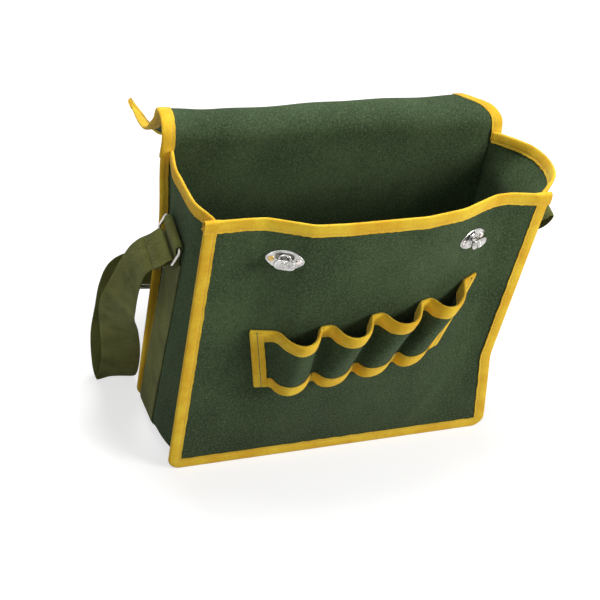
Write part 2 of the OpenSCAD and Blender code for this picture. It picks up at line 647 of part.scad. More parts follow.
// Turn locks on the front
back_plate_top = -canvas_t - layer_gap / 2;
module lock_plate(side) {
    color("#cfcdc6") at_lock(side) difference() {
        lock_layer(0, lock_plate_t) almond(lock_plate_l, lock_plate_h);
        outward(-overrun, overrun, post_r + rivet_fit);
        for (s = sides) translate([s * rivet_x, 0, 0]) outward(-overrun, overrun, rivet_r + rivet_fit);
    }
}
module lock_plate_left() {
    lock_plate(-1);
}
module lock_plate_right() {
    lock_plate(1);
}
module lock_back_plate(side) {
    color("#bdbab2") at_lock(side) difference() {
        lock_layer(back_plate_top - lock_plate_t, back_plate_top) almond(lock_plate_l, lock_plate_h);
        outward(-2 * overrun, overrun, post_r + rivet_fit);
        for (s = sides) translate([s * rivet_x, 0, 0]) outward(-2 * overrun, overrun, rivet_r + rivet_fit);
    }
}
module lock_back_plate_left() {
    lock_back_plate(-1);
}
module lock_back_plate_right() {
    lock_back_plate(1);
}
inner_face = back_plate_top - lock_plate_t;
module lock_rivets() {
    color("#b08d57") for (side = sides) at_lock(side) for (s = sides) translate([s * rivet_x, 0, 0]) {
        outward(lock_plate_t, lock_plate_t + rivet_head_t, rivet_head_r);
        outward(inner_face - rivet_head_t, lock_plate_t + rivet_head_t, rivet_r);
        outward(inner_face - rivet_head_t, inner_face, rivet_head_r);
    }
}
pin_top = post_h + knob_t;
module lock_post(side) {
    color("#c4c2ba") at_lock(side) {
        outward(inner_face - rivet_head_t, inner_face, post_r + rivet_head_t);
        outward(inner_face - rivet_head_t, post_h - pin_clear, post_r);
        outward(0, pin_top, pin_r);
    }
}
module lock_post_left() {
    lock_post(-1);
}
module lock_post_right() {
    lock_post(1);
}
hub_r = knob_h * 0.42;
module lock_knob(side) {
    color("#d6d4cd") at_lock(side) difference() {
        union() {
            lock_layer(post_h, post_h + knob_t * 0.75) capsule(knob_l, knob_h);
            outward(post_h, pin_top, hub_r);
        }
        outward(post_h - overrun, pin_top + overrun, pin_r + pin_clear);
    }
}
module lock_knob_left() {
    lock_knob(-1);
}
module lock_knob_right() {
    lock_knob(1);
}

// The flap is drawn closed, then turned back about its two folds
root_y = back_y - tape_t - canvas_t / 2;
roll_mid = [root_y + roll_r, bag_h + roll_rise];
roll_end = roll_mid + roll_r * [cos(180 - roll_turn), sin(180 - roll_turn)];
flap_turn = 90 + roll_turn;
closed_start = [root_y - closed_lead, bag_h + closed_lift];
function turned(p, a) = [p[0] * cos(a) - p[1] * sin(a), p[0] * sin(a) + p[1] * cos(a)];
fold_gap = closed_start - turned(roll_end, flap_turn);
// The one point that the turn leaves in place
fold_at = [(1 - cos(flap_turn)) * fold_gap[0] - sin(flap_turn) * fold_gap[1],
    sin(flap_turn) * fold_gap[0] + (1 - cos(flap_turn)) * fold_gap[1]] / (2 - 2 * cos(flap_turn));
flap_level = closed_start[1];
front_fold_y = front_y + tape_t - flap_stand + bow_low;
front_fold_at = fold_at + turned([front_fold_y, flap_level] - fold_at, -flap_turn);
echo(flap_fold_at = fold_at, flap_front_fold_at = front_fold_at, flap_turn = flap_turn);
echo(strap_length = strap_length, slider_at = slider_at, run_turn = run_turn, run_dip = run_dip);
echo(ring_bar = [bar_x, ring_mid_y, ring_z], ramp_angle = ramp_angle);
echo(lock_left = lock_place(-1), lock_right = lock_place(1));

module swing(a, at) {
    translate([0, at[0], at[1]]) rotate([a, 0, 0]) translate([0, -at[0], -at[1]]) children();
}
module open_top() {
    swing(-flap_turn, fold_at) children();
}
module open_front() {
    open_top() swing(-90, [front_fold_y, flap_level]) children();
}
cloth_gap = 0.5;
// Share of the way from the roll to the hem, for a point at closed length s from the roll
flap_top_l = closed_start[0] - front_fold_y;
flap_len = flap_top_l + flap_drop;
function flap_half(s) = mix(flap_half_root, flap_half_hem, smooth(s / flap_len));
flap_sag_shares = [0, 0.2, 0.4, 0.6, 0.8, 0.92, 1];
function flap_xs(s) = let (h = flap_half(s)) concat([-h + canvas_t, -h + tape_w],
    front_columns, [h - tape_w, h - canvas_t]);
// The flap follows the front's bow, and lies level beyond the right lock
function relief(x) = bow_low + (x < lock_x + ramp_half ? bow_across(x)
    : lookup(x, [[lock_x + ramp_half, bow_max * right_low_share], [lock_x + 2 * ramp_half, 0]]));
// Closed places of the cloth's middle, on the top and down the front
function top_mid(x, t) = [x, closed_start[0] - mix(cloth_gap, flap_top_l - cloth_gap, t),
    flap_level + relief(x) * t * t];
function front_mid(x, d) = [x, front_fold_y - relief(x), flap_level - d];
front_drops = [cloth_gap, flap_drop * 0.2, flap_drop * 0.5, flap_drop * 0.8, flap_drop - tape_t];

function roll_mid_at(a, out) = roll_mid + (roll_r + out) * [cos(180 - a), sin(180 - a)];
roll_step_count = 10;
roll_turns = [for (i = [0 : roll_step_count]) (roll_turn - cloth_gap) * i / roll_step_count];
function roll_point(x, i, out) = i < 0 ? [x, root_y - out, bag_h + layer_gap]
    : let (p = roll_mid_at(roll_turns[i], out)) [x, p[0], p[1]];
root_half = bag_w / 2 - tape_w - 2 * layer_gap;
function roll_half(i) = mix(root_half, flap_half_root, max(0, i) / roll_step_count);
module flap_roll_cloth() {
    grid = [for (s = sides) [for (i = [-1 : roll_step_count])
        [for (x = [-1, -0.5, 0, 0.5, 1]) roll_point(x * (roll_half(i) - canvas_t), i, s * canvas_t / 2)]]];
    color("#3a4a30") slab(grid[0], grid[1]);
}
module flap_roll_bindings() {
    color("#f0b93a") for (side = sides) swept([for (i = [-1 : roll_step_count]) let (h = roll_half(i),
        out = unit(roll_point(0, i, 1) - roll_point(0, i, 0)))
        tape_section(roll_point(side * (h - tape_t), i, 0), out, [side, 0, 0],
            roll_point(side * (h - tape_w), i, 0), tape_slot)], tape_cap);
}

module flap_top_cloth() {
    grid = [for (s = sides) [for (t = flap_sag_shares) [for (x = flap_xs(t * flap_top_l))
        top_mid(x, t) + [0, 0, s * canvas_t / 2]]]];
    color("#3a4a30") open_top() slab(grid[1], grid[0]);
}
module flap_top_bindings() {
    color("#f0b93a") open_top() for (side = sides) swept([for (t = flap_sag_shares) let (
        h = flap_half(t * flap_top_l))
        tape_section(top_mid(side * (h - tape_t), t), [0, 0, 1], [side, 0, 0],
            top_mid(side * (h - tape_w), t), tape_slot)], tape_cap);
}
eyelet_depth = flap_stand * cos(ramp_angle);
module flap_front_cloth() {
    grid = [for (s = sides) [for (d = front_drops) [for (x = flap_xs(flap_top_l + d))
        front_mid(x, d) - [0, s * canvas_t / 2, 0]]]];
    color("#3a4a30") difference() {
        open_front() slab(grid[1], grid[0]);
        open_front() for (side = sides) at_lock(side)
            lock_layer(eyelet_depth - overrun, eyelet_depth + overrun)
                capsule(knob_l + 2 * slot_clear + canvas_t, knob_h + slot_clear + canvas_t);
    }
}
module flap_front_binding() {
    color("#f0b93a") open_front() {
        side_drops = [front_drops[0], flap_drop * 0.3, flap_drop * 0.6, flap_drop - tape_w];
        for (side = sides) swept([for (d = side_drops) let (h = flap_half(flap_top_l + d))
            tape_section(front_mid(side * (h - tape_t), d), [0, -1, 0], [side, 0, 0],
                front_mid(side * (h - tape_w), d), tape_slot)], tape_cap);
        hem = flap_half(flap_len);
        hem_xs = concat([-hem, -hem + tape_w], front_columns, [hem - tape_w, hem]);
        swept([for (x = hem_xs) tape_section(front_mid(x, flap_drop - tape_t), [0, -1, 0], [0, 0, -1],
            front_mid(x, flap_drop - tape_w + layer_gap), tape_slot)], tape_cap);
    }
}
module eyelet_plate(side, a) {
    open_front() at_lock(side) lock_layer(a, a + eyelet_t) difference() {
        almond(eyelet_l, eyelet_h);
        capsule(knob_l + 2 * slot_clear, knob_h + slot_clear);
    }
}
eyelet_out = eyelet_depth + canvas_t / 2 + layer_gap;
eyelet_in = eyelet_depth - canvas_t / 2 - layer_gap - eyelet_t;
module eyelet_plates_front() {
    color("#cfcdc6") for (side = sides) eyelet_plate(side, eyelet_out);
}
module eyelet_plates_back() {
    color("#bdbab2") for (side = sides) eyelet_plate(side, eyelet_in);
}

front_panel();
back_panel();
gusset_strip();
front_binding();
back_binding();
front_rim_binding();
gusset_rim_binding_left();
gusset_rim_binding_right();
tool_loop_band();
tool_loop_top_binding();
tool_loop_bottom_binding();
tool_loop_end_binding_left();
tool_loop_end_binding_right();
load_strap();
ring_tab_left();
ring_tab_right();
side_ring_left();
side_ring_right();
strap_end_left();
strap_end_right();
strap_lead_left();
strap_lead_right();
shoulder_strap();
strap_slider();
lock_plate_left();
lock_plate_right();
lock_back_plate_left();
lock_back_plate_right();
lock_rivets();
lock_post_left();
lock_post_right();
lock_knob_left();
lock_knob_right();
flap_roll_cloth();
flap_roll_bindings();
flap_top_cloth();
flap_top_bindings();
flap_front_cloth();
flap_front_binding();
eyelet_plates_front();
eyelet_plates_back();
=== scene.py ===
# %% [markdown]
# # An open canvas tool bag with yellow binding
# The real bag is sewn from heavy olive canvas. Yellow tape is folded over every cut edge, a webbing
# strap runs under it and carries two wire rings, and the flap is thrown back behind the mouth. The
# solid model of the same bag is loaded first. It fixes every size, and each soft piece made here
# takes the place of one or more of its solids.

# %% Load the solid model
import math

import bpy
import numpy as np
from mathutils import Matrix


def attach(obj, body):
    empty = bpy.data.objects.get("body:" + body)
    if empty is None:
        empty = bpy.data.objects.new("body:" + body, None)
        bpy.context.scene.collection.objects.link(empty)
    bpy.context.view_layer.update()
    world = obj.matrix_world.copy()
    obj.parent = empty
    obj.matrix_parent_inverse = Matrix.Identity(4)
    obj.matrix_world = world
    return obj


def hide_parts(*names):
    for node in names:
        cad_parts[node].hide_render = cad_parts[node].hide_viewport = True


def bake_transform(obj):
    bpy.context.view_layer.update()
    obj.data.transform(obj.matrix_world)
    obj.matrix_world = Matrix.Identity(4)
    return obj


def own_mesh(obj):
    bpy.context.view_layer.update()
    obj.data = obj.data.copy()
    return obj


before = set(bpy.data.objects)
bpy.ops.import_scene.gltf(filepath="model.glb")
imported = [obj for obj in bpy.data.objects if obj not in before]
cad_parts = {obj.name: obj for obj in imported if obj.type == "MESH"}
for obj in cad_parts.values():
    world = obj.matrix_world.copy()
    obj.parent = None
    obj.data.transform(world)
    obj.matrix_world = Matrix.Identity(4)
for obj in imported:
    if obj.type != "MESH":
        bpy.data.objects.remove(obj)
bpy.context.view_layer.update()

# %% [markdown]
# ## The camera
# The photograph was taken from the bag's left and well above it, with the camera turned a little on
# its own axis. A camera is a position and three directions, so it is easiest to write those three
# directions as the columns of a matrix. The lens is long, which keeps the bag's edges nearly parallel.

# %% Place the camera
camera_turn = math.radians(-27.863)
camera_rise = math.radians(36.955)
camera_roll = math.radians(11.555)
camera_at = np.array([-0.62149, -1.12852, 1.08767])
back = np.array([math.sin(camera_turn) * math.cos(camera_rise),
                 -math.cos(camera_turn) * math.cos(camera_rise), math.sin(camera_rise)])
level = np.cross([0, 0, 1], back)
level = level / np.linalg.norm(level)
upward = np.cross(back, level)
right = math.cos(camera_roll) * level + math.sin(camera_roll) * upward
above = math.cos(camera_roll) * upward - math.sin(camera_roll) * level
placed = np.eye(4)
placed[:3, 0] = right
placed[:3, 1] = above
placed[:3, 2] = back
placed[:3, 3] = camera_at
camera_data = bpy.data.cameras.new("camera")
camera_data.lens = 98.377
camera_data.sensor_width = 36
camera = bpy.data.objects.new("camera", camera_data)
bpy.context.collection.objects.link(camera)
camera.matrix_world = Matrix(placed.tolist())
bpy.context.scene.camera = camera
bpy.context.scene.view_settings.view_transform = "Standard"
print("camera stands", round(float(np.linalg.norm(camera_at)), 3), "m from the bag's foot")

# %% [markdown]
# ## Helpers that draw nothing
# Sizes are written in millimetres, as on a cutting list, and become metres when a mesh is made. Two
# small functions do most of the shaping: one goes from 0 to 1 without a corner, and one reads a curve
# from a short table. The second also rounds the table's corners, because cloth has none.

# %% Small functions for shapes
MM = 0.001


def smooth(t):
    t = np.clip(t, 0, 1)
    return t * t * (3 - 2 * t)


def mix(a, b, t):
    return a + (b - a) * t


def from_table(x, table, rounding=0):
    xs = [row[0] for row in table]
    ys = [row[1] for row in table]
    x = np.asarray(x, float)
    if rounding == 0:
        return np.interp(x, xs, ys)
    total = 0
    weight = 0
    for k in range(-4, 5):
        w = 5 - abs(k)
        total = total + w * np.interp(x + rounding * k / 4, xs, ys)
        weight += w
    return total / weight


def unit(v):
    v = np.asarray(v, float)
    return v / np.maximum(np.linalg.norm(v, axis=-1, keepdims=True), 1e-12)


def lengths_along(points):
    step = np.linalg.norm(np.diff(points, axis=0), axis=-1)
    return np.concatenate([[0], np.cumsum(step)])


def wander(x, seed, waves=5, shortest=20.0, longest=120.0):
    # a slow, repeatable waver between about -1 and 1
    rng = np.random.default_rng(seed)
    x = np.asarray(x, float)
    total = 0
    for _ in range(waves):
        size = shortest * (longest / shortest) ** rng.random()
        total = total + np.sin(2 * np.pi * (x / size + rng.random())) * (0.6 + 0.4 * rng.random())
    return total / math.sqrt(waves)


print("a smooth step half way:", smooth(0.5))

# %% [markdown]
# ## Helpers that make meshes
# Cloth is a grid of points given a thickness. Tape, webbing and wire are one outline moved along a
# path. Both kinds get a UV map measured in metres, so that a weave keeps its real thread size on every
# piece, however the piece bends. Each finished mesh keeps its object at the origin.

# %% Make a mesh from points
def new_piece(name, points_mm, faces, corner_uv, material, sharp=50):
    mesh = bpy.data.meshes.new(name)
    mesh.from_pydata((np.asarray(points_mm) * MM).tolist(), [], faces)
    layer = mesh.uv_layers.new(name="UVMap")
    layer.data.foreach_set("uv", (np.asarray(corner_uv, float) * MM).ravel())
    mesh.shade_smooth()
    mesh.set_sharp_from_angle(angle=math.radians(sharp))
    mesh.materials.append(material)
    mesh.validate()
    piece = bpy.data.objects.new(name, mesh)
    bpy.context.collection.objects.link(piece)
    return piece


def joined(name, parts, material, sharp=50):
    # parts are (points, faces, corner_uv) made by the functions below
    points = []
    faces = []
    uv = []
    start = 0
    for part_points, part_faces, part_uv in parts:
        points.append(np.asarray(part_points, float).reshape(-1, 3))
        faces.extend([[start + v for v in face] for face in part_faces])
        uv.append(np.asarray(part_uv, float).reshape(-1, 2))
        start += len(points[-1])
    return new_piece(name, np.vstack(points), faces, np.vstack(uv), material, sharp)


# %% Give a grid of points a thickness
def grid_normals(grid):
    along = np.gradient(grid, axis=0)
    across = np.gradient(grid, axis=1)
    return unit(np.cross(along, across))


def cloth_shell(grid, thickness, keep=None):
    # keep marks the squares of the grid that are cloth; without it all of them are
    grid = np.asarray(grid, float)
    n, m = grid.shape[:2]
    offset = grid_normals(grid) * thickness / 2
    points = np.concatenate([(grid + offset).reshape(-1, 3), (grid - offset).reshape(-1, 3)])
    u = np.concatenate([np.zeros((1, m)), np.cumsum(np.linalg.norm(np.diff(grid, axis=0), axis=2), 0)])
    v = np.concatenate([np.zeros((n, 1)),
                        np.cumsum(np.linalg.norm(np.diff(grid, axis=1), axis=2), 1)], 1)
    u = np.repeat(u.mean(axis=1, keepdims=True), m, axis=1)
    v = v - v[:, m // 2:m // 2 + 1]
    flat = np.stack([u, v], axis=-1).reshape(-1, 2)
    i, j = np.meshgrid(np.arange(n - 1), np.arange(m - 1), indexing="ij")
    a = (i * m + j)[np.ones((n - 1, m - 1), bool) if keep is None else keep]
    top = np.stack([a, a + m, a + m + 1, a + 1], axis=1)
    low = top[:, ::-1] + n * m
    edges = np.concatenate([np.stack([top[:, k], top[:, (k + 1) % 4]], 1) for k in range(4)])
    inner = set(map(tuple, edges.tolist()))
    rim_edges = np.array([edge for edge in edges.tolist() if (edge[1], edge[0]) not in inner])
    start, end = rim_edges[:, 0], rim_edges[:, 1]
    side = np.stack([end, start, start + n * m, end + n * m], axis=1)
    faces = np.concatenate([top, low, side])
    corner = flat[faces % (n * m)].reshape(-1, 2)
    used, faces = np.unique(faces, return_inverse=True)
    return points[used], faces.reshape(-1, 4).tolist(), corner


# %% Move an outline along a path
def swept(path, side_a, side_b, outline, closed=False):
    # outline: (m, 2) or (n, m, 2), measured along side_a and side_b; its last point joins its first
    path = np.asarray(path, float)
    n = len(path)
    outline = np.asarray(outline, float)
    if outline.ndim == 2:
        outline = np.repeat(outline[None], n, axis=0)
    points = path[:, None] + side_a[:, None] * outline[..., :1] + side_b[:, None] * outline[..., 1:]
    return lofted(points, path, closed)


def lofted(points, path, closed=False):
    # points: one closed ring of the section at every point of the path
    n, m = points.shape[:2]
    middle = points[n // 2]
    around = np.concatenate([[0], np.cumsum(np.linalg.norm(np.diff(middle, axis=0), axis=1)),
                             [np.sum(np.linalg.norm(np.roll(middle, -1, 0) - middle, axis=1))]])
    along = lengths_along(path)
    faces = []
    uv = []
    last = n if closed else n - 1
    total = along[-1] + np.linalg.norm(path[0] - path[-1])
    for i in range(last):
        k = (i + 1) % n
        u0 = along[i]
        u1 = along[k] if k else total
        for j in range(m):
            l = (j + 1) % m
            faces.append([i * m + j, i * m + l, k * m + l, k * m + j])
            uv += [(u0, around[j]), (u0, around[j + 1]), (u1, around[j + 1]), (u1, around[j])]
    if not closed:
        faces.append(list(range(m - 1, -1, -1)))
        faces.append([(n - 1) * m + j for j in range(m)])
        uv += [(0, around[j]) for j in range(m - 1, -1, -1)]
        uv += [(total, around[j]) for j in range(m)]
    flat = points.reshape(-1, 3)
    if turned_inward(flat, faces):
        order = []
        start = 0
        for face in faces:
            order += list(range(start + len(face) - 1, start - 1, -1))
            start += len(face)
        uv = [uv[k] for k in order]
        faces = [face[::-1] for face in faces]
    return flat, faces, uv


def turned_inward(points, faces):
    volume = 0.0
    for face in faces:
        a = points[face[0]]
        for b, c in zip(face[1:-1], face[2:]):
            volume += np.dot(a, np.cross(points[b], points[c]))
    return volume < 0


def ring_faces(rings, count):
    # squares between closed rings of points, and a face over the first and the last ring
    faces = [[i * count + j, i * count + (j + 1) % count,
              (i + 1) * count + (j + 1) % count, (i + 1) * count + j]
             for i in range(rings - 1) for j in range(count)]
    faces.append(list(range(count - 1, -1, -1)))
    faces.append([(rings - 1) * count + j for j in range(count)])
    return faces


def facing_out(points, faces):
    # plain metal needs no UV map, so its corners all get zeros
    if turned_inward(points, faces):
        faces = [face[::-1] for face in faces]
    return points, faces, np.zeros((sum(len(face) for face in faces), 2))


print("mesh helpers are ready")

# %% [markdown]
# ## Weaves as shared node groups
# Canvas, tape and webbing are all woven, so the threads are made by node groups that each material
# places with its own sizes. A group reads the UV map in metres and gives back a height between 0 and
# 1. Plain weave is a chequerboard of warp and weft, and tape and webbing have slanting ribs.

# %% Node helpers
def add_node(tree, kind, **settings):
    node = tree.nodes.new(kind)
    for key, value in settings.items():
        setattr(node, key, value)
    return node


def feed(tree, source, target):
    if isinstance(source, (int, float, tuple, list)):
        target.default_value = source
    else:
        tree.links.new(source, target)


def sum_node(tree, operation, a, b=0.0, c=0.0):
    node = add_node(tree, "ShaderNodeMath", operation=operation)
    feed(tree, a, node.inputs[0])
    feed(tree, b, node.inputs[1])
    if operation in ("MULTIPLY_ADD", "SMOOTH_MIN", "COMPARE", "WRAP"):
        feed(tree, c, node.inputs[2])
    return node.outputs[0]


def ridges(tree, value, turn=math.pi):
    # a row of rounded ridges: the size of a sine
    return sum_node(tree, "ABSOLUTE", sum_node(
        tree, "SINE", sum_node(tree, "MULTIPLY", value, turn)))


def blend_colours(tree, share, a, b):
    node = add_node(tree, "ShaderNodeMix", data_type="RGBA")
    feed(tree, share, node.inputs[0])
    feed(tree, a, node.inputs[6])
    feed(tree, b, node.inputs[7])
    return node.outputs[2]


def limits(tree, value, low, high, to_low=0.0, to_high=1.0):
    node = add_node(tree, "ShaderNodeMapRange")
    feed(tree, value, node.inputs[0])
    for k, number in enumerate((low, high, to_low, to_high)):
        feed(tree, number, node.inputs[k + 1])
    return node.outputs[0]


def noise_at(tree, vector, scale, detail=3.0, rough=0.6):
    node = add_node(tree, "ShaderNodeTexNoise")
    feed(tree, vector, node.inputs["Vector"])
    feed(tree, scale, node.inputs["Scale"])
    node.inputs["Detail"].default_value = detail
    node.inputs["Roughness"].default_value = rough
    return node.outputs["Fac"]


def new_group(name, inputs, outputs):
    group = bpy.data.node_groups.new(name, "ShaderNodeTree")
    for label, kind, value in inputs:
        socket = group.interface.new_socket(name=label, in_out="INPUT", socket_type=kind)
        if value is not None:
            socket.default_value = value
    for label, kind in outputs:
        group.interface.new_socket(name=label, in_out="OUTPUT", socket_type=kind)
    entry = group.nodes.new("NodeGroupInput")
    leave = group.nodes.new("NodeGroupOutput")
    return group, entry.outputs, leave.inputs


print("node helpers are ready")

# %% Plain weave of the canvas
plain_weave, given, result = new_group(
    "plain weave",
    [("UV", "NodeSocketVector", None), ("Thread pitch", "NodeSocketFloat", 0.001),
     ("Unevenness", "NodeSocketFloat", 0.3)],
    [("Height", "NodeSocketFloat"), ("Fleck", "NodeSocketFloat")])
parts = add_node(plain_weave, "ShaderNodeSeparateXYZ")
feed(plain_weave, given["UV"], parts.inputs[0])
warp_at = sum_node(plain_weave, "DIVIDE", parts.outputs[0], given["Thread pitch"])
weft_at = sum_node(plain_weave, "DIVIDE", parts.outputs[1], given["Thread pitch"])
waver = noise_at(plain_weave, given["UV"], 90.0, 2.0)
warp_at = sum_node(plain_weave, "ADD", warp_at, waver)
weft_at = sum_node(plain_weave, "ADD", weft_at, waver)
warp = ridges(plain_weave, warp_at)
weft = ridges(plain_weave, weft_at)
square = sum_node(plain_weave, "ADD", sum_node(plain_weave, "FLOOR", warp_at),
                  sum_node(plain_weave, "FLOOR", weft_at))
odd = sum_node(plain_weave, "PINGPONG", square, 1.0)
over = sum_node(plain_weave, "MULTIPLY", warp, sum_node(plain_weave, "SUBTRACT", 1.0, odd))
under = sum_node(plain_weave, "MULTIPLY", weft, odd)
lean_way = add_node(plain_weave, "ShaderNodeMapping")
lean_way.inputs["Scale"].default_value = (1.0, 0.2, 1.0)
feed(plain_weave, given["UV"], lean_way.inputs["Vector"])
slub = noise_at(plain_weave, lean_way.outputs[0], 900.0, 2.0, 0.7)
threads = sum_node(plain_weave, "ADD", over, under)
feed(plain_weave, sum_node(plain_weave, "MULTIPLY_ADD", slub, given["Unevenness"], threads),
     result["Height"])
feed(plain_weave, limits(plain_weave, noise_at(plain_weave, given["UV"], 480.0, 3.0, 0.75), 0.54, 0.7),
     result["Fleck"])
print("plain weave group has", len(plain_weave.nodes), "nodes")

# %% Slanting ribs of tape and webbing
slanted_ribs, given, result = new_group(
    "slanted ribs",
    [("UV", "NodeSocketVector", None), ("Rib pitch", "NodeSocketFloat", 0.001),
     ("Slant", "NodeSocketFloat", 0.8), ("Turn width", "NodeSocketFloat", 1.0)],
    [("Height", "NodeSocketFloat"), ("Lint", "NodeSocketFloat")])
parts = add_node(slanted_ribs, "ShaderNodeSeparateXYZ")
feed(slanted_ribs, given["UV"], parts.inputs[0])
folded = sum_node(slanted_ribs, "PINGPONG", parts.outputs[1], given["Turn width"])
slope = sum_node(slanted_ribs, "MULTIPLY_ADD", folded, given["Slant"], parts.outputs[0])
slope = sum_node(slanted_ribs, "DIVIDE", slope, given["Rib pitch"])
uneven = noise_at(slanted_ribs, given["UV"], 220.0, 2.0)
slope = sum_node(slanted_ribs, "MULTIPLY_ADD", uneven, 0.7, slope)
rib = ridges(slanted_ribs, slope)
pick = sum_node(slanted_ribs, "DIVIDE", parts.outputs[0], given["Rib pitch"])
pick = ridges(slanted_ribs, pick, math.pi * 1.7)
feed(slanted_ribs, sum_node(slanted_ribs, "MULTIPLY_ADD", pick, 0.35, rib), result["Height"])
lint = noise_at(slanted_ribs, given["UV"], 800.0, 3.0, 0.8)
feed(slanted_ribs, limits(slanted_ribs, lint, 0.55, 0.75), result["Lint"])
print("slanted ribs group has", len(slanted_ribs.nodes), "nodes")

# %% [markdown]
# ## Uneven colour as a shared group
# Dyed cloth is never one colour. Large soft patches come from handling and fading, and small ones from
# the yarn. The group mixes a dark and a light colour by two noises that read Object coordinates, so
# that the patches run on from one piece of cloth to the next.

# %% Patchy colour
patchy, given, result = new_group(
    "patchy colour",
    [("Place", "NodeSocketVector", None), ("Dark", "NodeSocketColor", (0, 0, 0, 1)),
     ("Light", "NodeSocketColor", (1, 1, 1, 1)), ("Patch scale", "NodeSocketFloat", 12.0),
     ("Grain scale", "NodeSocketFloat", 400.0), ("Grain share", "NodeSocketFloat", 0.3)],
    [("Color", "NodeSocketColor"), ("Share", "NodeSocketFloat")])
wide = limits(patchy, noise_at(patchy, given["Place"], given["Patch scale"], 3.0), 0.35, 0.65)
fine = limits(patchy, noise_at(patchy, given["Place"], given["Grain scale"], 2.0, 0.8), 0.3, 0.7)
keep = sum_node(patchy, "SUBTRACT", 1.0, given["Grain share"])
share = sum_node(patchy, "MULTIPLY_ADD", fine, given["Grain share"],
                 sum_node(patchy, "MULTIPLY", wide, keep))
feed(patchy, share, result["Share"])
feed(patchy, blend_colours(patchy, share, given["Dark"], given["Light"]), result["Color"])
print("patchy colour group has", len(patchy.nodes), "nodes")


# %% Start a material
def new_finish(name, roughness, **constants):
    material = bpy.data.materials.new(name)
    material.use_nodes = True
    tree = material.node_tree
    shader = tree.nodes["Principled BSDF"]
    shader.inputs["Roughness"].default_value = roughness
    for label, value in constants.items():
        shader.inputs[label.replace("_", " ")].default_value = value
    place = add_node(tree, "ShaderNodeTexCoord")
    return material, tree, shader, place


def place_group(tree, group, **values):
    node = add_node(tree, "ShaderNodeGroup", node_tree=group)
    for label, value in values.items():
        feed(tree, value, node.inputs[label.replace("_", " ")])
    return node.outputs


def darkened(tree, colour, share):
    node = add_node(tree, "ShaderNodeMix", data_type="RGBA", blend_type="MULTIPLY")
    node.inputs[0].default_value = 1.0
    feed(tree, colour, node.inputs[6])
    feed(tree, share, node.inputs[7])
    return node.outputs[2]


def raise_surface(tree, shader, height, depth, strength=1.0):
    bump = add_node(tree, "ShaderNodeBump")
    bump.inputs["Strength"].default_value = strength
    bump.inputs["Distance"].default_value = depth
    feed(tree, height, bump.inputs["Height"])
    feed(tree, bump.outputs[0], shader.inputs["Normal"])


print("material helpers are ready")


# %% [markdown]
# ## Canvas
# Heavy olive duck has threads a little under a millimetre apart, a dull face and short pale fibres
# that catch the light. The fibres are the sheen of the shader, with a rough lobe, and pale flecks in
# the colour. Low down the cloth is darker: this is painted shade for the shade low on the bag and inside
# it.

# %% Canvas finish
def canvas_finish(name, dark, light, fleck_colour):
    material, tree, shader, place = new_finish(name, 0.9, Sheen_Weight=0.1, Sheen_Roughness=0.5,
                                               Specular_IOR_Level=0.15)
    shader.inputs["Sheen Tint"].default_value = (0.55, 0.7, 0.5, 1)
    weave = place_group(tree, plain_weave, UV=place.outputs["UV"], Thread_pitch=0.00095, Unevenness=0.7)
    colour = place_group(tree, patchy, Place=place.outputs["Object"], Dark=dark, Light=light,
                         Patch_scale=14.0, Grain_scale=430.0, Grain_share=0.62)
    gaps = limits(tree, weave["Height"], 0.1, 1.2, 0.42, 1.2)
    # painted shade: the colour is darkened towards the bottom, from 0.66 at the floor to 1.04 at 190 mm up
    height = add_node(tree, "ShaderNodeSeparateXYZ")
    feed(tree, place.outputs["Object"], height.inputs[0])
    gaps = sum_node(tree, "MULTIPLY", gaps, limits(tree, height.outputs[2], 0.0, 0.19, 0.66, 1.04))
    shaded = darkened(tree, colour["Color"], gaps)
    flecked = blend_colours(tree, sum_node(tree, "MULTIPLY", weave["Fleck"], 0.6), shaded,
                            fleck_colour)
    feed(tree, flecked, shader.inputs["Base Color"])
    raise_surface(tree, shader, weave["Height"], 0.00028, 0.8)
    return material


canvas = canvas_finish("olive canvas", (0.016, 0.032, 0.013, 1), (0.074, 0.118, 0.052, 1),
                       (0.19, 0.23, 0.12, 1))
print("canvas finish:", canvas.name)


# %% [markdown]
# ## Yellow tape, webbing and thread
# The binding is a cotton tape with fine slanting ribs. Its colour goes from a warm orange to a paler
# yellow in soft random patches. The webbing is coarser, with a herringbone that turns every
# few millimetres across its width, and has a duller, browner olive than the canvas.

# %% Tape and webbing finish
def ribbed_finish(name, dark, light, lint_colour, pitch, slant, turn_width, depth, sheen, lint_share):
    material, tree, shader, place = new_finish(name, 0.8, Sheen_Weight=sheen, Sheen_Roughness=0.5,
                                               Specular_IOR_Level=0.15)
    ribs = place_group(tree, slanted_ribs, UV=place.outputs["UV"], Rib_pitch=pitch, Slant=slant,
                       Turn_width=turn_width)
    colour = place_group(tree, patchy, Place=place.outputs["Object"], Dark=dark, Light=light,
                         Patch_scale=38.0, Grain_scale=600.0, Grain_share=0.35)
    gaps = limits(tree, ribs["Height"], 0.0, 0.9, 0.72, 1.05)
    shaded = darkened(tree, colour["Color"], gaps)
    linted = blend_colours(tree, sum_node(tree, "MULTIPLY", ribs["Lint"], lint_share), shaded,
                           lint_colour)
    feed(tree, linted, shader.inputs["Base Color"])
    raise_surface(tree, shader, ribs["Height"], depth, 0.8)
    return material


tape = ribbed_finish("yellow tape", (0.82, 0.42, 0.012, 1), (1.0, 0.72, 0.05, 1), (1.0, 0.86, 0.24, 1),
                     0.0009, 0.9, 1.0, 0.00016, 0.1, 0.35)
webbing = ribbed_finish("olive webbing", (0.080, 0.088, 0.018, 1), (0.20, 0.215, 0.055, 1),
                        (0.38, 0.40, 0.16, 1), 0.0017, 1.0, 0.0048, 0.00045, 0.06, 0.45)


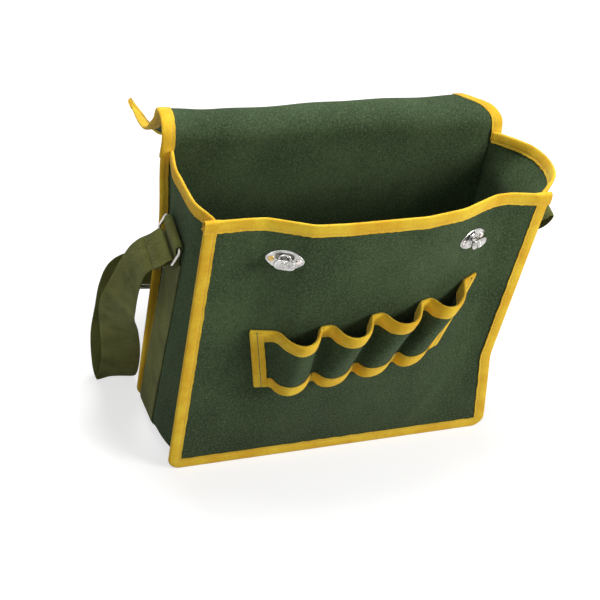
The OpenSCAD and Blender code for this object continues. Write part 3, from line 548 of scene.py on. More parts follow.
def thread_finish(name, dark, light):
    material, tree, shader, place = new_finish(name, 0.6, Sheen_Weight=0.3)
    colour = place_group(tree, patchy, Place=place.outputs["Object"], Dark=dark, Light=light,
                         Patch_scale=60.0, Grain_scale=1500.0, Grain_share=0.6)
    feed(tree, colour["Color"], shader.inputs["Base Color"])
    raise_surface(tree, shader, colour["Share"], 0.0001, 0.5)
    return material


yellow_thread = thread_finish("yellow thread", (0.62, 0.34, 0.03, 1), (0.88, 0.62, 0.12, 1))
olive_thread = thread_finish("olive thread", (0.035, 0.045, 0.018, 1), (0.10, 0.12, 0.05, 1))
print("tape, webbing and thread finishes are made")


# %% [markdown]
# ## Metal
# The locks and rings are plated steel, one rivet is brass and the others nickel, and the slider is
# plain brushed steel.
# Plating is a smooth metal with a few fine scratches. Its colour is mixed in patches from a dark and
# a light tone: on the lock plating the dark patches are painted reflections, on the other metals
# they are duller patches where fingers touch them. The scratches are a noise stretched far along one
# direction.

# %% Plated and plain metal
def metal_finish(name, dark, light, roughness, scratch_depth):
    material, tree, shader, place = new_finish(name, roughness, Metallic=1.0)
    colour = place_group(tree, patchy, Place=place.outputs["Object"], Dark=dark, Light=light,
                         Patch_scale=130.0, Grain_scale=700.0, Grain_share=0.45)
    feed(tree, colour["Color"], shader.inputs["Base Color"])
    feed(tree, limits(tree, colour["Share"], 0.2, 0.9, roughness * 1.5, roughness * 0.7),
         shader.inputs["Roughness"])
    stretch = add_node(tree, "ShaderNodeMapping")
    stretch.inputs["Scale"].default_value = (120.0, 120.0, 2600.0)
    stretch.inputs["Rotation"].default_value = (0.3, 0.5, 0.0)
    feed(tree, place.outputs["Object"], stretch.inputs["Vector"])
    scratch = limits(tree, noise_at(tree, stretch.outputs[0], 1.0, 2.0), 0.55, 0.75)
    raise_surface(tree, shader, scratch, scratch_depth, 0.6)
    return material


# painted reflection: the lock plating's dark patches stand in for dark reflections in the chrome
painted_reflection_chrome = metal_finish("lock plating with painted reflections", (0.20, 0.20, 0.19, 1), (0.74, 0.73, 0.71, 1), 0.13, 0.00002)
wire_steel = metal_finish("ring wire", (0.34, 0.33, 0.30, 1), (0.66, 0.64, 0.60, 1), 0.2, 0.00003)
brushed = metal_finish("slider steel", (0.34, 0.34, 0.32, 1), (0.54, 0.54, 0.51, 1), 0.34, 0.00005)
dull_back = metal_finish("back plate steel", (0.36, 0.35, 0.32, 1), (0.56, 0.54, 0.50, 1), 0.3, 0.00004)
brass = metal_finish("rivet brass", (0.50, 0.33, 0.11, 1), (0.78, 0.56, 0.24, 1), 0.26, 0.00003)
nickel = metal_finish("rivet nickel", (0.56, 0.50, 0.46, 1), (0.80, 0.74, 0.70, 1), 0.22, 0.00003)
print("metal finishes are made")

# %% [markdown]
# ## The bag's outline
# The front, the side strip and both seam tapes share one line: down the left side, round two corners
# and up the right side, where the cloth has been pushed in at about a third of its height. Every
# point on it can be drawn in by a distance, which gives the inner layers of the seam.

# %% Outline of the bag
half_wide = 170.0
rim = 290.0
front_y = -79.0
back_y = 31.0
corner = 13.0
canvas_thick = 1.2
tape_thick = 0.8
tape_wide = 12.0
flange = 9.0
web_wide = 38.0
web_thick = 1.6
lean_angle = math.radians(5)
lean = math.tan(lean_angle)


def push_in(z):
    return from_table(z, [(corner, 0), (97, 14), (rim, 0)], 7)


def rim_rise(z):
    return smooth((z / rim - 0.83) / 0.17) ** 1.3


def outline(inset, pushed=1.0, bulge_left=0.0, bulge_right=0.0, sides=70, bends=9, floor=56):
    # stations run along the first axis; the other values may be rows of many insets
    z_side = np.linspace(rim, corner, sides)[:, None]
    turn = np.radians(np.linspace(0, 90, bends + 2)[1:-1])[:, None]
    along = np.linspace(-1, 1, floor)[:, None]
    inset = np.atleast_1d(np.asarray(inset, float))[None, :]
    zero = 0 * (inset + pushed + bulge_left + bulge_right)
    left = np.stack([-half_wide + inset - bulge_left * rim_rise(z_side) + zero, z_side + zero], -1)
    low_left = np.stack([-half_wide + corner - (corner - inset) * np.cos(turn) + zero,
                         corner - (corner - inset) * np.sin(turn) + zero], -1)
    under = np.stack([(half_wide - corner) * along + zero, inset + 0 * along + zero], -1)
    low_right = np.stack([half_wide - corner + (corner - inset) * np.cos(turn[::-1]) + zero,
                          corner - (corner - inset) * np.sin(turn[::-1]) + zero], -1)
    up = z_side[::-1]
    right_side = np.stack([half_wide - inset - pushed * push_in(up) + bulge_right * rim_rise(up) + zero,
                           up + zero], -1)
    return np.concatenate([left, low_left, under, low_right, right_side])


def drawn_out(points):
    # the strap pulls the mouth's back left corner outwards and up
    points = np.array(points, float)
    x, y, z = points[..., 0], points[..., 1], points[..., 2]
    share = (smooth((z - 205) / 85) * smooth((y + 12) / 40) * smooth((110 - y) / 60)
             * smooth((-x - 120) / 45))
    points[..., 0] -= 7 * share
    points[..., 2] += 4 * share
    return points


line = outline(0.0)[:, 0]
print("outline has", len(line), "stations and is", round(lengths_along(line)[-1]), "mm long")

# %% [markdown]
# ## How the front bows out
# An empty bag's front does not stay flat. It swells between the two locks, falls off steeply beside
# them, and is pressed in a little next to the right seam. The bow grows from nothing at the floor to
# its full depth near the rim. A few shallow ripples are laid over it, away from anything sewn down.

# %% The front's surface
def edge_half(side, z):
    z = np.asarray(z, float)
    low = half_wide - corner + np.sqrt(np.maximum(0, (corner - 1) ** 2 - (corner - z) ** 2))
    high = half_wide - 1 - np.where(np.asarray(side) > 0, push_in(z), 0)
    return np.where(z >= corner, high, low)


def bow_across(x):
    return 20 * from_table(x, [(-134, 0), (-114, 0.05), (-74, 0.9), (-44, 1), (34, 1), (74, 0.65),
                               (114, -0.2), (130, -0.25), (156.56, 0)], 5)


def bow_up(z):
    return np.sin(np.pi / 2 * np.clip((np.asarray(z) - 13.44) / 175, 0, 1))


def plain_front(x, z):
    # y of the front's outer face, without ripples
    x = np.asarray(x, float)
    half = edge_half(np.sign(x), z)
    beyond = 130 + (np.abs(x) - 130) * 39 / (half - 130)
    x = np.where(np.abs(x) > 130, np.sign(x) * beyond, x)
    return front_y + tape_thick - bow_across(x) * bow_up(z)


def ripple(x, z):
    x = np.asarray(x, float)
    z = np.asarray(z, float)
    slow = np.sin(x / 31 + z / 57 + 0.6) * np.sin(z / 43 - x / 90) + 0.6 * np.sin(x / 17 - z / 38 + 2.0)
    small = 0.3 * np.sin(x / 8.3 + z / 15.0) * np.sin(z / 11.0 - x / 27 + 1.0)
    drag = 1.1 * np.exp(-((x - 0.55 * (z - 60) - 96) / 9) ** 2) * smooth((150 - z) / 60)
    calm_edge = smooth((edge_half(np.sign(x), z) - np.abs(x) - 11) / 18)
    calm_rim = smooth((rim - 12 - z) / 22) * smooth((z - 12) / 20)
    calm_lock = 1 - np.exp(-(((np.abs(x) - 94) / 26) ** 4 + ((z - 250) / 20) ** 4))
    calm_band = 0.25 + 0.75 * smooth((np.maximum(np.abs(z - 151 - 0.16 * x) - 36, np.abs(x) - 112)) / 16)
    return (0.55 * (slow + small) - drag) * calm_edge * calm_rim * calm_lock * calm_band


def front_skin(x, z):
    return plain_front(x, z) + ripple(x, z)


print("front stands out", round(float(front_y - plain_front(0, 280)), 1), "mm at the rim")

# %% Front panel
corner_zs = corner - (corner - 1) * np.cos(np.radians(np.linspace(0, 90, 8)[:-1]))
front_zs = np.concatenate([corner_zs, np.linspace(corner, rim, 94)])
share = np.sin(np.linspace(-1, 1, 121) * np.pi / 2 * 0.93) / math.sin(np.pi / 2 * 0.93)
front_grid = []
for z in front_zs:
    half = np.where(share < 0, edge_half(-1, z), edge_half(1, z))
    x = share * half
    front_grid.append(np.stack([x, front_skin(x, z) + canvas_thick / 2, 0 * x + z], -1))
front_grid = np.array(front_grid)[::-1]
front_panel = joined("front_panel_cloth", [cloth_shell(front_grid, canvas_thick)], canvas)
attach(front_panel, "bag")
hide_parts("front_panel")
print("front panel:", len(front_panel.data.polygons), "faces")

# %% [markdown]
# ## The back panel
# The back hangs straight from the rim and nothing pulls on it, so it has only slow, shallow waves.
# They die out at the seams, where the tape holds the cloth flat.

# %% Back panel
back_zs = np.concatenate([corner_zs, np.linspace(corner, rim - 1, 62)])
back_grid = []
for z in back_zs:
    half = edge_half(-1, z)
    x = np.linspace(-1, 1, 81) * half
    calm = smooth((half - np.abs(x) - 11) / 25) * smooth((z - 12) / 25) * smooth((rim - 4 - z) / 20)
    wave = 0.9 * np.sin(x / 41 + 0.4) * np.sin(z / 60 + x / 130) + 0.35 * np.sin(x / 13 - z / 29)
    back_skin = back_y - tape_thick - canvas_thick / 2 - calm * (0.8 + wave)
    back_grid.append(np.stack([x, back_skin, 0 * x + z], -1))
back_grid = drawn_out(back_grid)
back_panel = joined("back_panel_cloth", [cloth_shell(back_grid, canvas_thick)], canvas)
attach(back_panel, "bag")
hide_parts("back_panel")
print("back panel:", len(back_panel.data.polygons), "faces")

# %% [markdown]
# ## The side strip
# One strip of canvas makes the left side, the floor and the right side. Its two edges are turned out
# into flanges inside the seams. Between them it swells until it lies against the webbing, and at the
# mouth both sides bulge outwards, the right one much further, because nothing holds it there.

# %% Side strip
left_bulge = 3.0
right_bulge = 27.0
wall_front = front_y + 2 * canvas_thick + tape_thick
wall_back = back_y - 2 * canvas_thick - tape_thick


def web_middle(z):
    return -lean * np.maximum(0, z - corner)


def wall_inset(y, z):
    mid = web_middle(z)
    near = smooth((y - wall_front) / (mid - 20 - wall_front))
    far = smooth((wall_back - y) / (wall_back - mid - 20))
    return flange - (flange - web_thick) * np.where(y < mid, near, far)


def bulge_share(y):
    return np.sin(np.pi * np.clip((y - wall_front) / (wall_back - wall_front), 0, 1)) ** 0.75


def push_share(y):
    return 1 - smooth((y - front_y) / 41)


row_ys = np.linspace(wall_front, wall_back, 45)
z_line = outline(0.0)[:, 0, 1][:, None]
swell = bulge_share(row_ys)[None]
wall_rows = outline(0.0, push_share(row_ys)[None], left_bulge * swell, right_bulge * swell)
deep = wall_inset(row_ys[None, :], z_line) + canvas_thick / 2 + 0.12
inner_rows = outline(20.0, push_share(row_ys)[None], left_bulge * swell, right_bulge * swell)
inward = (inner_rows - wall_rows) / 20.0
placed_rows = wall_rows + inward * deep[..., None]
stations = np.arange(len(placed_rows))
crumple = 0.5 * np.sin(stations / 4.3)[:, None] * np.sin(row_ys / 9.0 + 1)[None]
crumple = crumple + 0.5 * np.sin(stations[:, None] / 9.1 + row_ys[None] / 17)
calm = np.minimum(smooth((np.abs(row_ys[None] - web_middle(z_line)) - 20) / 10), swell)
placed_rows = placed_rows + inward * (crumple * calm)[..., None]
strip_grid = np.stack([placed_rows[..., 0], np.broadcast_to(row_ys, placed_rows.shape[:2]),
                       placed_rows[..., 1]], -1)


def flange_rows(y_flat, y_fold, pushed):
    rows = []
    for inset, y in ((1.2, y_flat), (5.0, y_flat), (8.2, y_flat), (9.3, y_fold)):
        xz = outline(inset, pushed)[:, 0]
        rows.append(np.stack([xz[:, 0], np.full(len(xz), y), xz[:, 1]], -1))
    return np.array(rows).transpose(1, 0, 2)


front_flange = flange_rows(wall_front - canvas_thick / 2, wall_front - canvas_thick * 0.3, 1.0)
back_flange = flange_rows(wall_back + canvas_thick / 2, wall_back + canvas_thick * 0.3, 0.0)[:, ::-1]
strip_grid = drawn_out(np.concatenate([front_flange, strip_grid, back_flange], axis=1))
side_strip = joined("side_strip_cloth", [cloth_shell(strip_grid, canvas_thick)], canvas)
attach(side_strip, "bag")
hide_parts("gusset_strip")
print("side strip:", len(side_strip.data.polygons), "faces")

# %% [markdown]
# ## Tape folded over an edge
# Binding tape is folded in half over a raw edge and sewn through all the layers a little way in from
# its own edge. The section is a narrow U. Two things make it read as sewn tape and not as moulding:
# a shallow groove where the stitches pull it down, and an edge that wavers along its length.

# %% Section of a folded tape
stitch_in = 2.2
tape_seams = {"bag": [], "flap roll": [], "flap rest": [], "flap corner": []}
dark_seams = {"bag": [], "ring_left": [], "ring_right": []}


def tape_section(along, half, out_wide, in_wide, tip, seed, sewn_at):
    n = len(along)
    half = np.broadcast_to(np.asarray(half, float), (n,))
    out_wide = np.broadcast_to(np.asarray(out_wide, float), (n,)) + 0.35 * wander(along, seed, 6, 7, 60)
    in_wide = (np.broadcast_to(np.asarray(in_wide, float), (n,))
               + 0.35 * wander(along, seed + 50, 6, 7, 60))
    out_wide, in_wide = out_wide[:, None], in_wide[:, None]
    far = (half + tape_thick)[:, None]
    near = half[:, None]
    share = np.array([0, 0.05, 0.12, 0.18, 0.24, 0.32, 0.45, 0.65, 0.85])[None]
    bend = np.radians(np.linspace(0, 180, 9))[None]

    def leg(wide, face, sign):
        run = wide - far
        d = share * run
        dip = 0.42 * np.exp(-((d - sewn_at) / 0.8) ** 2) + 0.10 * np.exp(-(d / 0.5) ** 2)
        crown = 0.30 * np.sin(np.pi * np.clip((d - sewn_at) / (run - sewn_at + 3), 0, 1))
        pucker = 0.10 * np.sin(along * 2 * np.pi / 4.4 + seed)[:, None] * np.exp(-((d - 1.2) / 2.4) ** 2)
        return np.stack([sign * (face - dip + crown + pucker), tip - wide + d], -1)

    tip_mid = tip - far
    outer_arc = np.stack([far * np.cos(bend), tip_mid + far * np.sin(bend)], -1)
    inner_arc = np.stack([near * np.cos(bend), tip_mid + near * np.sin(bend)], -1)
    outer = leg(out_wide, far, 1)
    other = leg(in_wide, far, -1)[:, ::-1]
    inner_foot = np.stack([-near + 0 * in_wide, tip - in_wide], -1)
    outer_foot = np.stack([near + 0 * out_wide, tip - out_wide], -1)
    return np.concatenate([outer, outer_arc, other, inner_foot, inner_arc[:, ::-1], outer_foot], axis=1)


def on_sheet(section, over, sheet):
    # carries a section onto curved cloth: sheet holds depths, and points and normals at each depth
    depths, lines, normals = sheet
    n, m = section.shape[:2]
    deep = np.clip(-section[..., 1], 0, depths[-1])
    k = np.clip(np.searchsorted(depths, deep) - 1, 0, len(depths) - 2)
    t = ((deep - depths[k]) / (depths[k + 1] - depths[k]))[..., None]
    i = np.repeat(np.arange(n)[:, None], m, axis=1)
    at = mix(lines[k, i], lines[k + 1, i], t)
    normal = unit(mix(normals[k, i], normals[k + 1, i], t))
    return at + normal * section[..., :1] + over[:, None] * np.maximum(section[..., 1:], 0)


def folded_tape(path, out, over, half, out_wide, in_wide, tip=0.8, seed=1, body="bag", stitched=(1, -1),
                sheet=None, sewn_at=stitch_in):
    path = np.asarray(path, float)
    out = unit(out)
    over = unit(over - out * np.sum(over * out, axis=1, keepdims=True))
    along = lengths_along(path)
    section = tape_section(along, half, out_wide, in_wide, tip, seed, sewn_at)
    if sheet is None:
        rows = np.array([0.0, 20.0])
        sheet = (rows, path[None] - over[None] * rows[:, None, None], np.repeat(out[None], 2, axis=0))
    for side in stitched:
        wide = out_wide if side > 0 else in_wide
        face = np.broadcast_to(np.asarray(half, float), along.shape) + tape_thick - 0.25
        line = np.stack([side * face, np.full(len(along), tip - wide + sewn_at)], -1)[:, None]
        tape_seams[body].append(on_sheet(line, over, sheet)[:, 0])
    return lofted(on_sheet(section, over, sheet), path)


print("tape helper is ready")

# %% [markdown]
# ## Seam tapes
# Front and back seams stand out from the bag's sides, as on the real bag, because the sewn layers are
# turned outwards and bound. Each tape runs down one side, under the floor and up the other. Its top
# ends stop just under the rim's tape, which is folded over them.

# %% Front and back seam tapes
def seam_tape(name, node, pushed, y, out_y, seed):
    line = outline(0.0, pushed)[:, 0]
    deep = outline(20.0, pushed)[:, 0]
    keep = line[:, 1] <= 288.6
    line = line[keep]
    deep = deep[keep]
    path = drawn_out(np.stack([line[:, 0], np.full(len(line), y), line[:, 1]], -1))
    over = np.stack([line[:, 0] - deep[:, 0], 0 * line[:, 0], line[:, 1] - deep[:, 1]], -1)
    out = np.repeat([[0.0, out_y, 0.0]], len(line), axis=0)
    part = folded_tape(path, out, over, 1.22, 12.0, 7.9, tip=0.0, seed=seed)
    piece = joined(name, [part], tape)
    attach(piece, "bag")
    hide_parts(node)
    return piece


front_seam = seam_tape("front_seam_tape", "front_binding", 1.0, -77.0, -1.0, 3)
back_seam = seam_tape("back_seam_tape", "back_binding", 0.0, 29.0, 1.0, 5)
print("seam tapes:", len(front_seam.data.polygons) + len(back_seam.data.polygons), "faces")

# %% [markdown]
# ## Rim tapes
# The mouth is bound last. Along the front the tape follows the bowed edge, and near each corner it
# opens to take the whole seam, tape and all. On the sides it follows the bulging edge of the strip.

# %% Front rim tape
rim_xs = np.concatenate([np.linspace(-170.2, -150, 15)[:-1], np.linspace(-150, 150, 121),
                         np.linspace(150, 170.2, 15)[1:]])
at_seam = smooth((np.abs(rim_xs) - 151) / 8)
edge_y = mix(front_skin(np.clip(rim_xs, -169, 169), 289.0) + canvas_thick / 2, -77.0, at_seam)
foot_y = mix(front_skin(np.clip(rim_xs, -169, 169), 277.0) + canvas_thick / 2, -77.0, at_seam)
rim_path = np.stack([rim_xs, edge_y, np.full(len(rim_xs), rim)], -1)
over = np.stack([0 * rim_xs, edge_y - foot_y, np.full(len(rim_xs), 12.0)], -1)
out = np.cross(np.gradient(rim_path, axis=0), over)
out = unit(out) * np.where(out[:, 1:2] < 0, 1, -1)
part = folded_tape(rim_path, out, over, mix(0.75, 2.2, at_seam), 12.6, 12.0, tip=0.9, seed=11)
front_rim = joined("front_rim_tape", [part], tape)
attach(front_rim, "bag")
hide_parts("front_rim_binding")
print("front rim tape is", round(lengths_along(rim_path)[-1]), "mm long")


# %% Side rim tapes
def side_edge(side, z):
    ys = np.linspace(-75.0, 27.6, 64)
    inset = wall_inset(ys, z) + canvas_thick / 2 + 0.12
    bulge = (left_bulge if side < 0 else right_bulge) * bulge_share(ys) * rim_rise(z)
    pushed = 0 if side < 0 else push_share(ys) * push_in(z)
    xs = side * (half_wide - inset - pushed + bulge)
    return drawn_out(np.stack([xs, ys, np.full(len(ys), z)], -1))


for side, label in ((-1, "left"), (1, "right")):
    path = side_edge(side, rim)
    over = path - side_edge(side, rim - 12)
    out = np.cross(np.gradient(path, axis=0), over)
    out = unit(out) * np.where(out[:, :1] * side > 0, 1, -1)
    part = folded_tape(path, out, over, 0.75, tape_wide, tape_wide, tip=0.8, seed=17 + side)
    piece = joined("side_rim_tape_" + label, [part], tape)
    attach(piece, "bag")
    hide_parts("gusset_rim_binding_" + label)
    print("side rim tape", label, "is", round(lengths_along(path)[-1]), "mm long")

# %% [markdown]
# ## The tool loops
# One long strip of canvas is bound all round and sewn to the front at its ends and between the loops.
# Next to each seam it lies flat for a little, then it stands out steeply, comes round and leans back to
# the next seam. The mouths of the loops stand out further than their feet, and the strip climbs to the
# right. One loop's fold is a short list of points, and a smooth curve runs through them all.

# %% Fold of one loop
loop_fold = np.array([(0, 0), (0.09, 0.0), (0.17, 0.03), (0.225, 0.16), (0.255, 0.36), (0.29, 0.58),
                      (0.35, 0.79), (0.43, 0.93), (0.53, 1.0), (0.64, 0.97), (0.735, 0.86), (0.81, 0.69),
                      (0.87, 0.48), (0.92, 0.27), (0.96, 0.1), (1, 0)])
per_point = 3


def curve_through(points, steps):
    points = np.asarray(points, float)
    padded = np.concatenate([points[:1] * 2 - points[1:2], points, points[-1:] * 2 - points[-2:-1]])
    rows = []
    for i in range(len(points) - 1):
        a, b, c, d = padded[i:i + 4]
        for t in np.arange(steps) / steps:
            rows.append(0.5 * (2 * b + (c - a) * t + (2 * a - 5 * b + 4 * c - d) * t ** 2
                               + (3 * b - a - 3 * c + d) * t ** 3))
    return np.array(rows + [points[-1]])


one_loop = curve_through(loop_fold, per_point)
loop_count = 4
flat_share = 13.0 / 224.0
loop_wide = (1 - 2 * flat_share) / loop_count
end_flat = np.linspace(0, flat_share, 7)[:-1]
band_share = [end_flat]
band_out = [0 * end_flat]
band_loop = [0 * end_flat]
band_local = [0 * end_flat]
for k in range(loop_count):
    fold_rows = one_loop if k == loop_count - 1 else one_loop[:-1]
    band_share.append(flat_share + loop_wide * (k + fold_rows[:, 0]))
    band_out.append(np.maximum(fold_rows[:, 1], 0))
    band_loop.append(np.full(len(fold_rows), float(k)))
    band_local.append(np.clip(fold_rows[:, 0], 0, 1))
band_share.append(1 - end_flat[::-1])
band_out.append(0 * end_flat)
band_loop.append(0 * end_flat + loop_count - 1)
band_local.append(0 * end_flat)
band_share, band_out, band_loop, band_local = [
    np.concatenate(rows) for rows in (band_share, band_out, band_loop, band_local)]
seam_stations = [len(end_flat) + k * (len(one_loop) - 1) for k in range(loop_count + 1)]
print("the loop band has", len(band_share), "stations")

# %% Lines along the band
band_low = 117.0
band_tall = 68.0
band_raise = 18.0
foot_depths = np.array([14.0, 13.0, 12.5, 12.0])
mouth_depths = np.array([22.0, 26.0, 23.0, 23.0])


def band_line(height):
    # near the foot each fold stands out sooner, and the whole foot sits further left
    foot = 1 - height
    share = band_share + foot * loop_wide * (band_local ** 1.5 - band_local)
    x = (2 * share - 1) * mix(90.0, 112.0, height) - 9.0 * foot
    z = band_low + band_tall * height + band_raise * x / 112.0
    loop = band_loop.astype(int)
    deep = mix(foot_depths[loop], mouth_depths[loop], smooth(height * 0.9))
    return np.stack([x, front_skin(x, z) - 2.0 - deep * band_out, z], -1)


def band_normals(points):
    t = np.gradient(points, axis=0)
    return unit(np.stack([t[:, 1], -t[:, 0], 0 * t[:, 0]], -1))


# %% Loop band cloth
band_heights = np.linspace(0.02, 0.98, 25)
band_grid = np.array([band_line(h) for h in band_heights])
loop_band = joined("tool_loop_cloth", [cloth_shell(band_grid, canvas_thick)], canvas)
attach(loop_band, "bag")
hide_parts("tool_loop_band")

# %% Tape round the loop band
tape_depths = np.linspace(0, 13.5, 8)
for height, label, up in ((1.0, "top", 1.0), (0.0, "bottom", -1.0)):
    lines = np.array([band_line(height - up * d / band_tall) for d in tape_depths])
    normals = np.array([band_normals(line) for line in lines])
    part = folded_tape(lines[0], normals[0], lines[0] - lines[-1], 0.85, tape_wide, tape_wide, tip=0.8,
                       seed=23 + int(up), sheet=(tape_depths, lines, normals))
    piece = joined("loop_tape_" + label, [part], tape)
    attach(piece, "bag")
    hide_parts("tool_loop_%s_binding" % label)
grooves = []
for side, label, first, second in ((-1, "left", 0, 3), (1, "right", -1, -4)):
    heights = np.linspace(0.02, 0.98, 24)
    rows = [band_line(h) for h in heights]
    path = np.array([row[first] for row in rows])
    inner = np.array([row[second] for row in rows])
    out = np.array([band_normals(row)[first] for row in rows])
    part = folded_tape(path + out * 0.4, out, path - inner, 1.3, 13.0, 11.0, tip=0.9, seed=31 + side,
                       sewn_at=6.2, stitched=())
    grooves.append(path + out * 2.15 - unit(path - inner) * 6.3)
    piece = joined("loop_end_tape_" + label, [part], tape)
    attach(piece, "bag")
    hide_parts("tool_loop_end_binding_" + label)
for k in seam_stations[1:-1]:
    seam = np.array([band_line(h)[k] for h in np.linspace(0.01, 0.99, 24)])
    step = np.linspace(0, 24, 24)
    over_tape = 0.85 + 0.95 * (1 - smooth(step - 4) * smooth(20 - step))
    dark_seams["bag"].append(seam - np.stack([0 * over_tape, over_tape, 0 * over_tape], -1))
print("loops are bound and sewn at", len(seam_stations), "seams")

# %% [markdown]
# ## Webbing
# Webbing keeps its width and only bends and twists. Its section is a flat band with rounded edges,
# moved along a path with a direction across the width at every point. The carrying strap is one U
# under the floor, sewn up both sides, and it leans back a little on its way up.

# %% Helper for webbing
def web_section():
    xs = np.linspace(-1, 1, 17)
    edge = np.sqrt(np.clip(1 - (np.abs(xs) - 0.955) ** 2 / 0.045 ** 2, 0, 1))
    edge = np.where(np.abs(xs) < 0.955, 1, edge)
    edge = np.maximum(edge, 0.45)
    top = np.stack([xs * web_wide / 2, edge * web_thick / 2], -1)
    low = np.stack([xs[::-1] * web_wide / 2, -edge * web_thick / 2], -1)
    return np.concatenate([top, low])


def web_frame(path, width_way):
    # the direction across the webbing and the one out of its face, at every point
    t = unit(np.gradient(path, axis=0))
    w = unit(width_way - t * np.sum(width_way * t, axis=1, keepdims=True))
    return w, np.cross(t, w)


def web_strip(path, width_way):
    w, n = web_frame(path, width_way)
    return swept(path, w, n, web_section())


# %% Carrying strap
up_z = np.linspace(214, corner, 50)
turn = np.radians(np.linspace(0, 90, 12)[1:-1])
bend_r = corner - web_thick / 2
arc = np.stack([-half_wide + corner - bend_r * np.cos(turn), 0 * turn,
                corner - bend_r * np.sin(turn)], -1)
side_run = np.stack([np.full(50, -half_wide + web_thick / 2), web_middle(up_z), up_z], -1)
floor_x = np.linspace(-half_wide + corner, 0, 30)[:-1]
floor_run = np.stack([floor_x, 0 * floor_x, 0 * floor_x + web_thick / 2], -1)
left_half = np.concatenate([side_run, arc, floor_run])
right_half = left_half[::-1] * [-1, 1, 1]
strap_path = np.concatenate([left_half, [[0, 0, web_thick / 2]], right_half])
leaning = smooth((strap_path[:, 2] - 15) / 14)[:, None]
leaned = np.array([[0, math.cos(lean_angle), math.sin(lean_angle)]])
strap_wide = unit(mix(np.array([[0, 1.0, 0]]), leaned, leaning))
load_strap = joined("carrying_strap", [web_strip(strap_path, strap_wide)], webbing)
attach(load_strap, "bag")
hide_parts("load_strap")
for end in (0, -1):
    step = 1 if end == 0 else -1
    for edge in (-1, 1):
        run = strap_path[end::step][2:50]
        way = strap_wide[end::step][2:50]
        face = np.array([[-1.0 if end == 0 else 1.0, 0, 0]]) * (web_thick / 2 - 0.1)
        dark_seams["bag"].append(run + way * edge * (web_wide / 2 - 3) + face)
print("carrying strap is", round(lengths_along(strap_path)[-1]), "mm long")

# %% [markdown]
# ## Ring tabs and strap ends
# Each ring hangs in a folded tab that is sewn to the bag's side. The shoulder strap is folded round
# the ring's other bar and sewn to itself. Both are short strips bent in one plane, so they are drawn
# in the ring's own frame first and then turned into place.

# %% Frames of the rings
ring_clear = 0.7
wire_r = 1.5
ring_deep = 19.0
bar_x = half_wide + web_thick + wire_r + ring_clear
bar_z = 238.0
bar_y = float(web_middle(bar_z))
tilt = math.radians(14)
hang = {-1: math.radians(14), 1: math.radians(60)}
tab_r = wire_r + ring_clear + web_thick / 2


def turn_about_x(points, angle):
    c, s = math.cos(angle), math.sin(angle)
    return np.stack([points[..., 0], c * points[..., 1] - s * points[..., 2],
                     s * points[..., 1] + c * points[..., 2]], -1)


def turn_about_y(points, angle):
    c, s = math.cos(angle), math.sin(angle)
    return np.stack([c * points[..., 0] + s * points[..., 2], points[..., 1],
                     c * points[..., 2] - s * points[..., 0]], -1)


def at_ring(side, points):
    points = np.asarray(points, float) * [side, 1, 1]
    return turn_about_x(points, tilt) + [bar_x * side, bar_y, bar_z]


def at_hang(side, points):
    # the ring's own frame, swung out from the bag
    return at_ring(side, turn_about_y(np.asarray(points, float), -hang[side]))


print("ring bars lie", round(bar_x, 1), "mm from the middle")

# %% Ring tabs
arc = np.radians(np.linspace(180, -25, 16))
fold = np.stack([tab_r * np.cos(arc), 0 * arc, tab_r * np.sin(arc)], -1)
for side, label in ((-1, "left"), (1, "right")):
    inner = np.stack([np.full(14, -tab_r), np.zeros(14), np.linspace(-25.5, -0.8, 14)], -1)
    drop = np.linspace(0, 1, 14)[1:]
    outer_x = mix(fold[-1, 0], -tab_r + web_thick + 0.1, smooth(drop * 1.25))
    outer = np.stack([outer_x, 0 * drop, mix(fold[-1, 2], -25.0, drop)], -1)
    path = at_ring(side, np.concatenate([inner, fold, outer]))
    across = at_ring(side, [[0, 1.0, 0]])[0] - at_ring(side, [[0, 0, 0]])[0]
    part = web_strip(path, np.repeat(across[None], len(path), 0))
    tab = joined("ring_tab_%s_web" % label, [part], webbing)
    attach(tab, "bag")
    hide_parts("ring_tab_" + label)
    sewn = -tab_r + web_thick + 0.1 + web_thick / 2 - 0.1
    box = [(sewn, -16, -15.0), (sewn, 16, -15.0), (sewn, 16, -23.5), (sewn, -16, -23.5)]
    # four sides and the cross between them
    for a, b in ((0, 1), (1, 2), (2, 3), (3, 0), (0, 2), (1, 3)):
        dark_seams["bag"].append(at_ring(side, np.linspace(box[a], box[b], 8)))
print("ring tabs are folded and cross-stitched")

# %% Strap ends round the rings
leave = {-1: math.radians(45), 1: math.radians(35)}


def at_lap(side, points):
    # the lap's frame: X runs away from the ring's outer bar, along the strap
    points = turn_about_y(np.asarray(points, float), leave[side])
    return at_hang(side, points + [0, 0, -ring_deep])


for side, label in ((-1, "left"), (1, "right")):
    arc = np.radians(np.linspace(65, 295, 20))
    fold = np.stack([tab_r * np.cos(arc), 0 * arc, tab_r * np.sin(arc)], -1)
    drop = np.linspace(0, 1, 10)[1:]
    to_end = np.stack([mix(fold[-1, 0], 16.0, drop), 0 * drop,
                       mix(fold[-1, 2], -0.82, smooth(drop * 1.6))], -1)
    from_end = to_end[::-1] * [1, 1, -1]
    path = at_lap(side, np.concatenate([from_end, fold, to_end]))
    across = at_lap(side, [[0, 1.0, 0]])[0] - at_lap(side, [[0, 0, 0]])[0]
    part = web_strip(path, np.repeat(across[None], len(path), 0))
    lap = joined("strap_fold_" + label, [part], webbing)
    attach(lap, "ring_" + label)
    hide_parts("strap_end_" + label)
    for x in (11.0, 14.0):
        for face in (1.62, -1.62):
            row = np.stack([np.full(20, x), np.linspace(-17.5, 17.5, 20), np.full(20, face)], -1)
            dark_seams["ring_" + label].append(at_lap(side, row))
print("strap ends are folded round the rings")
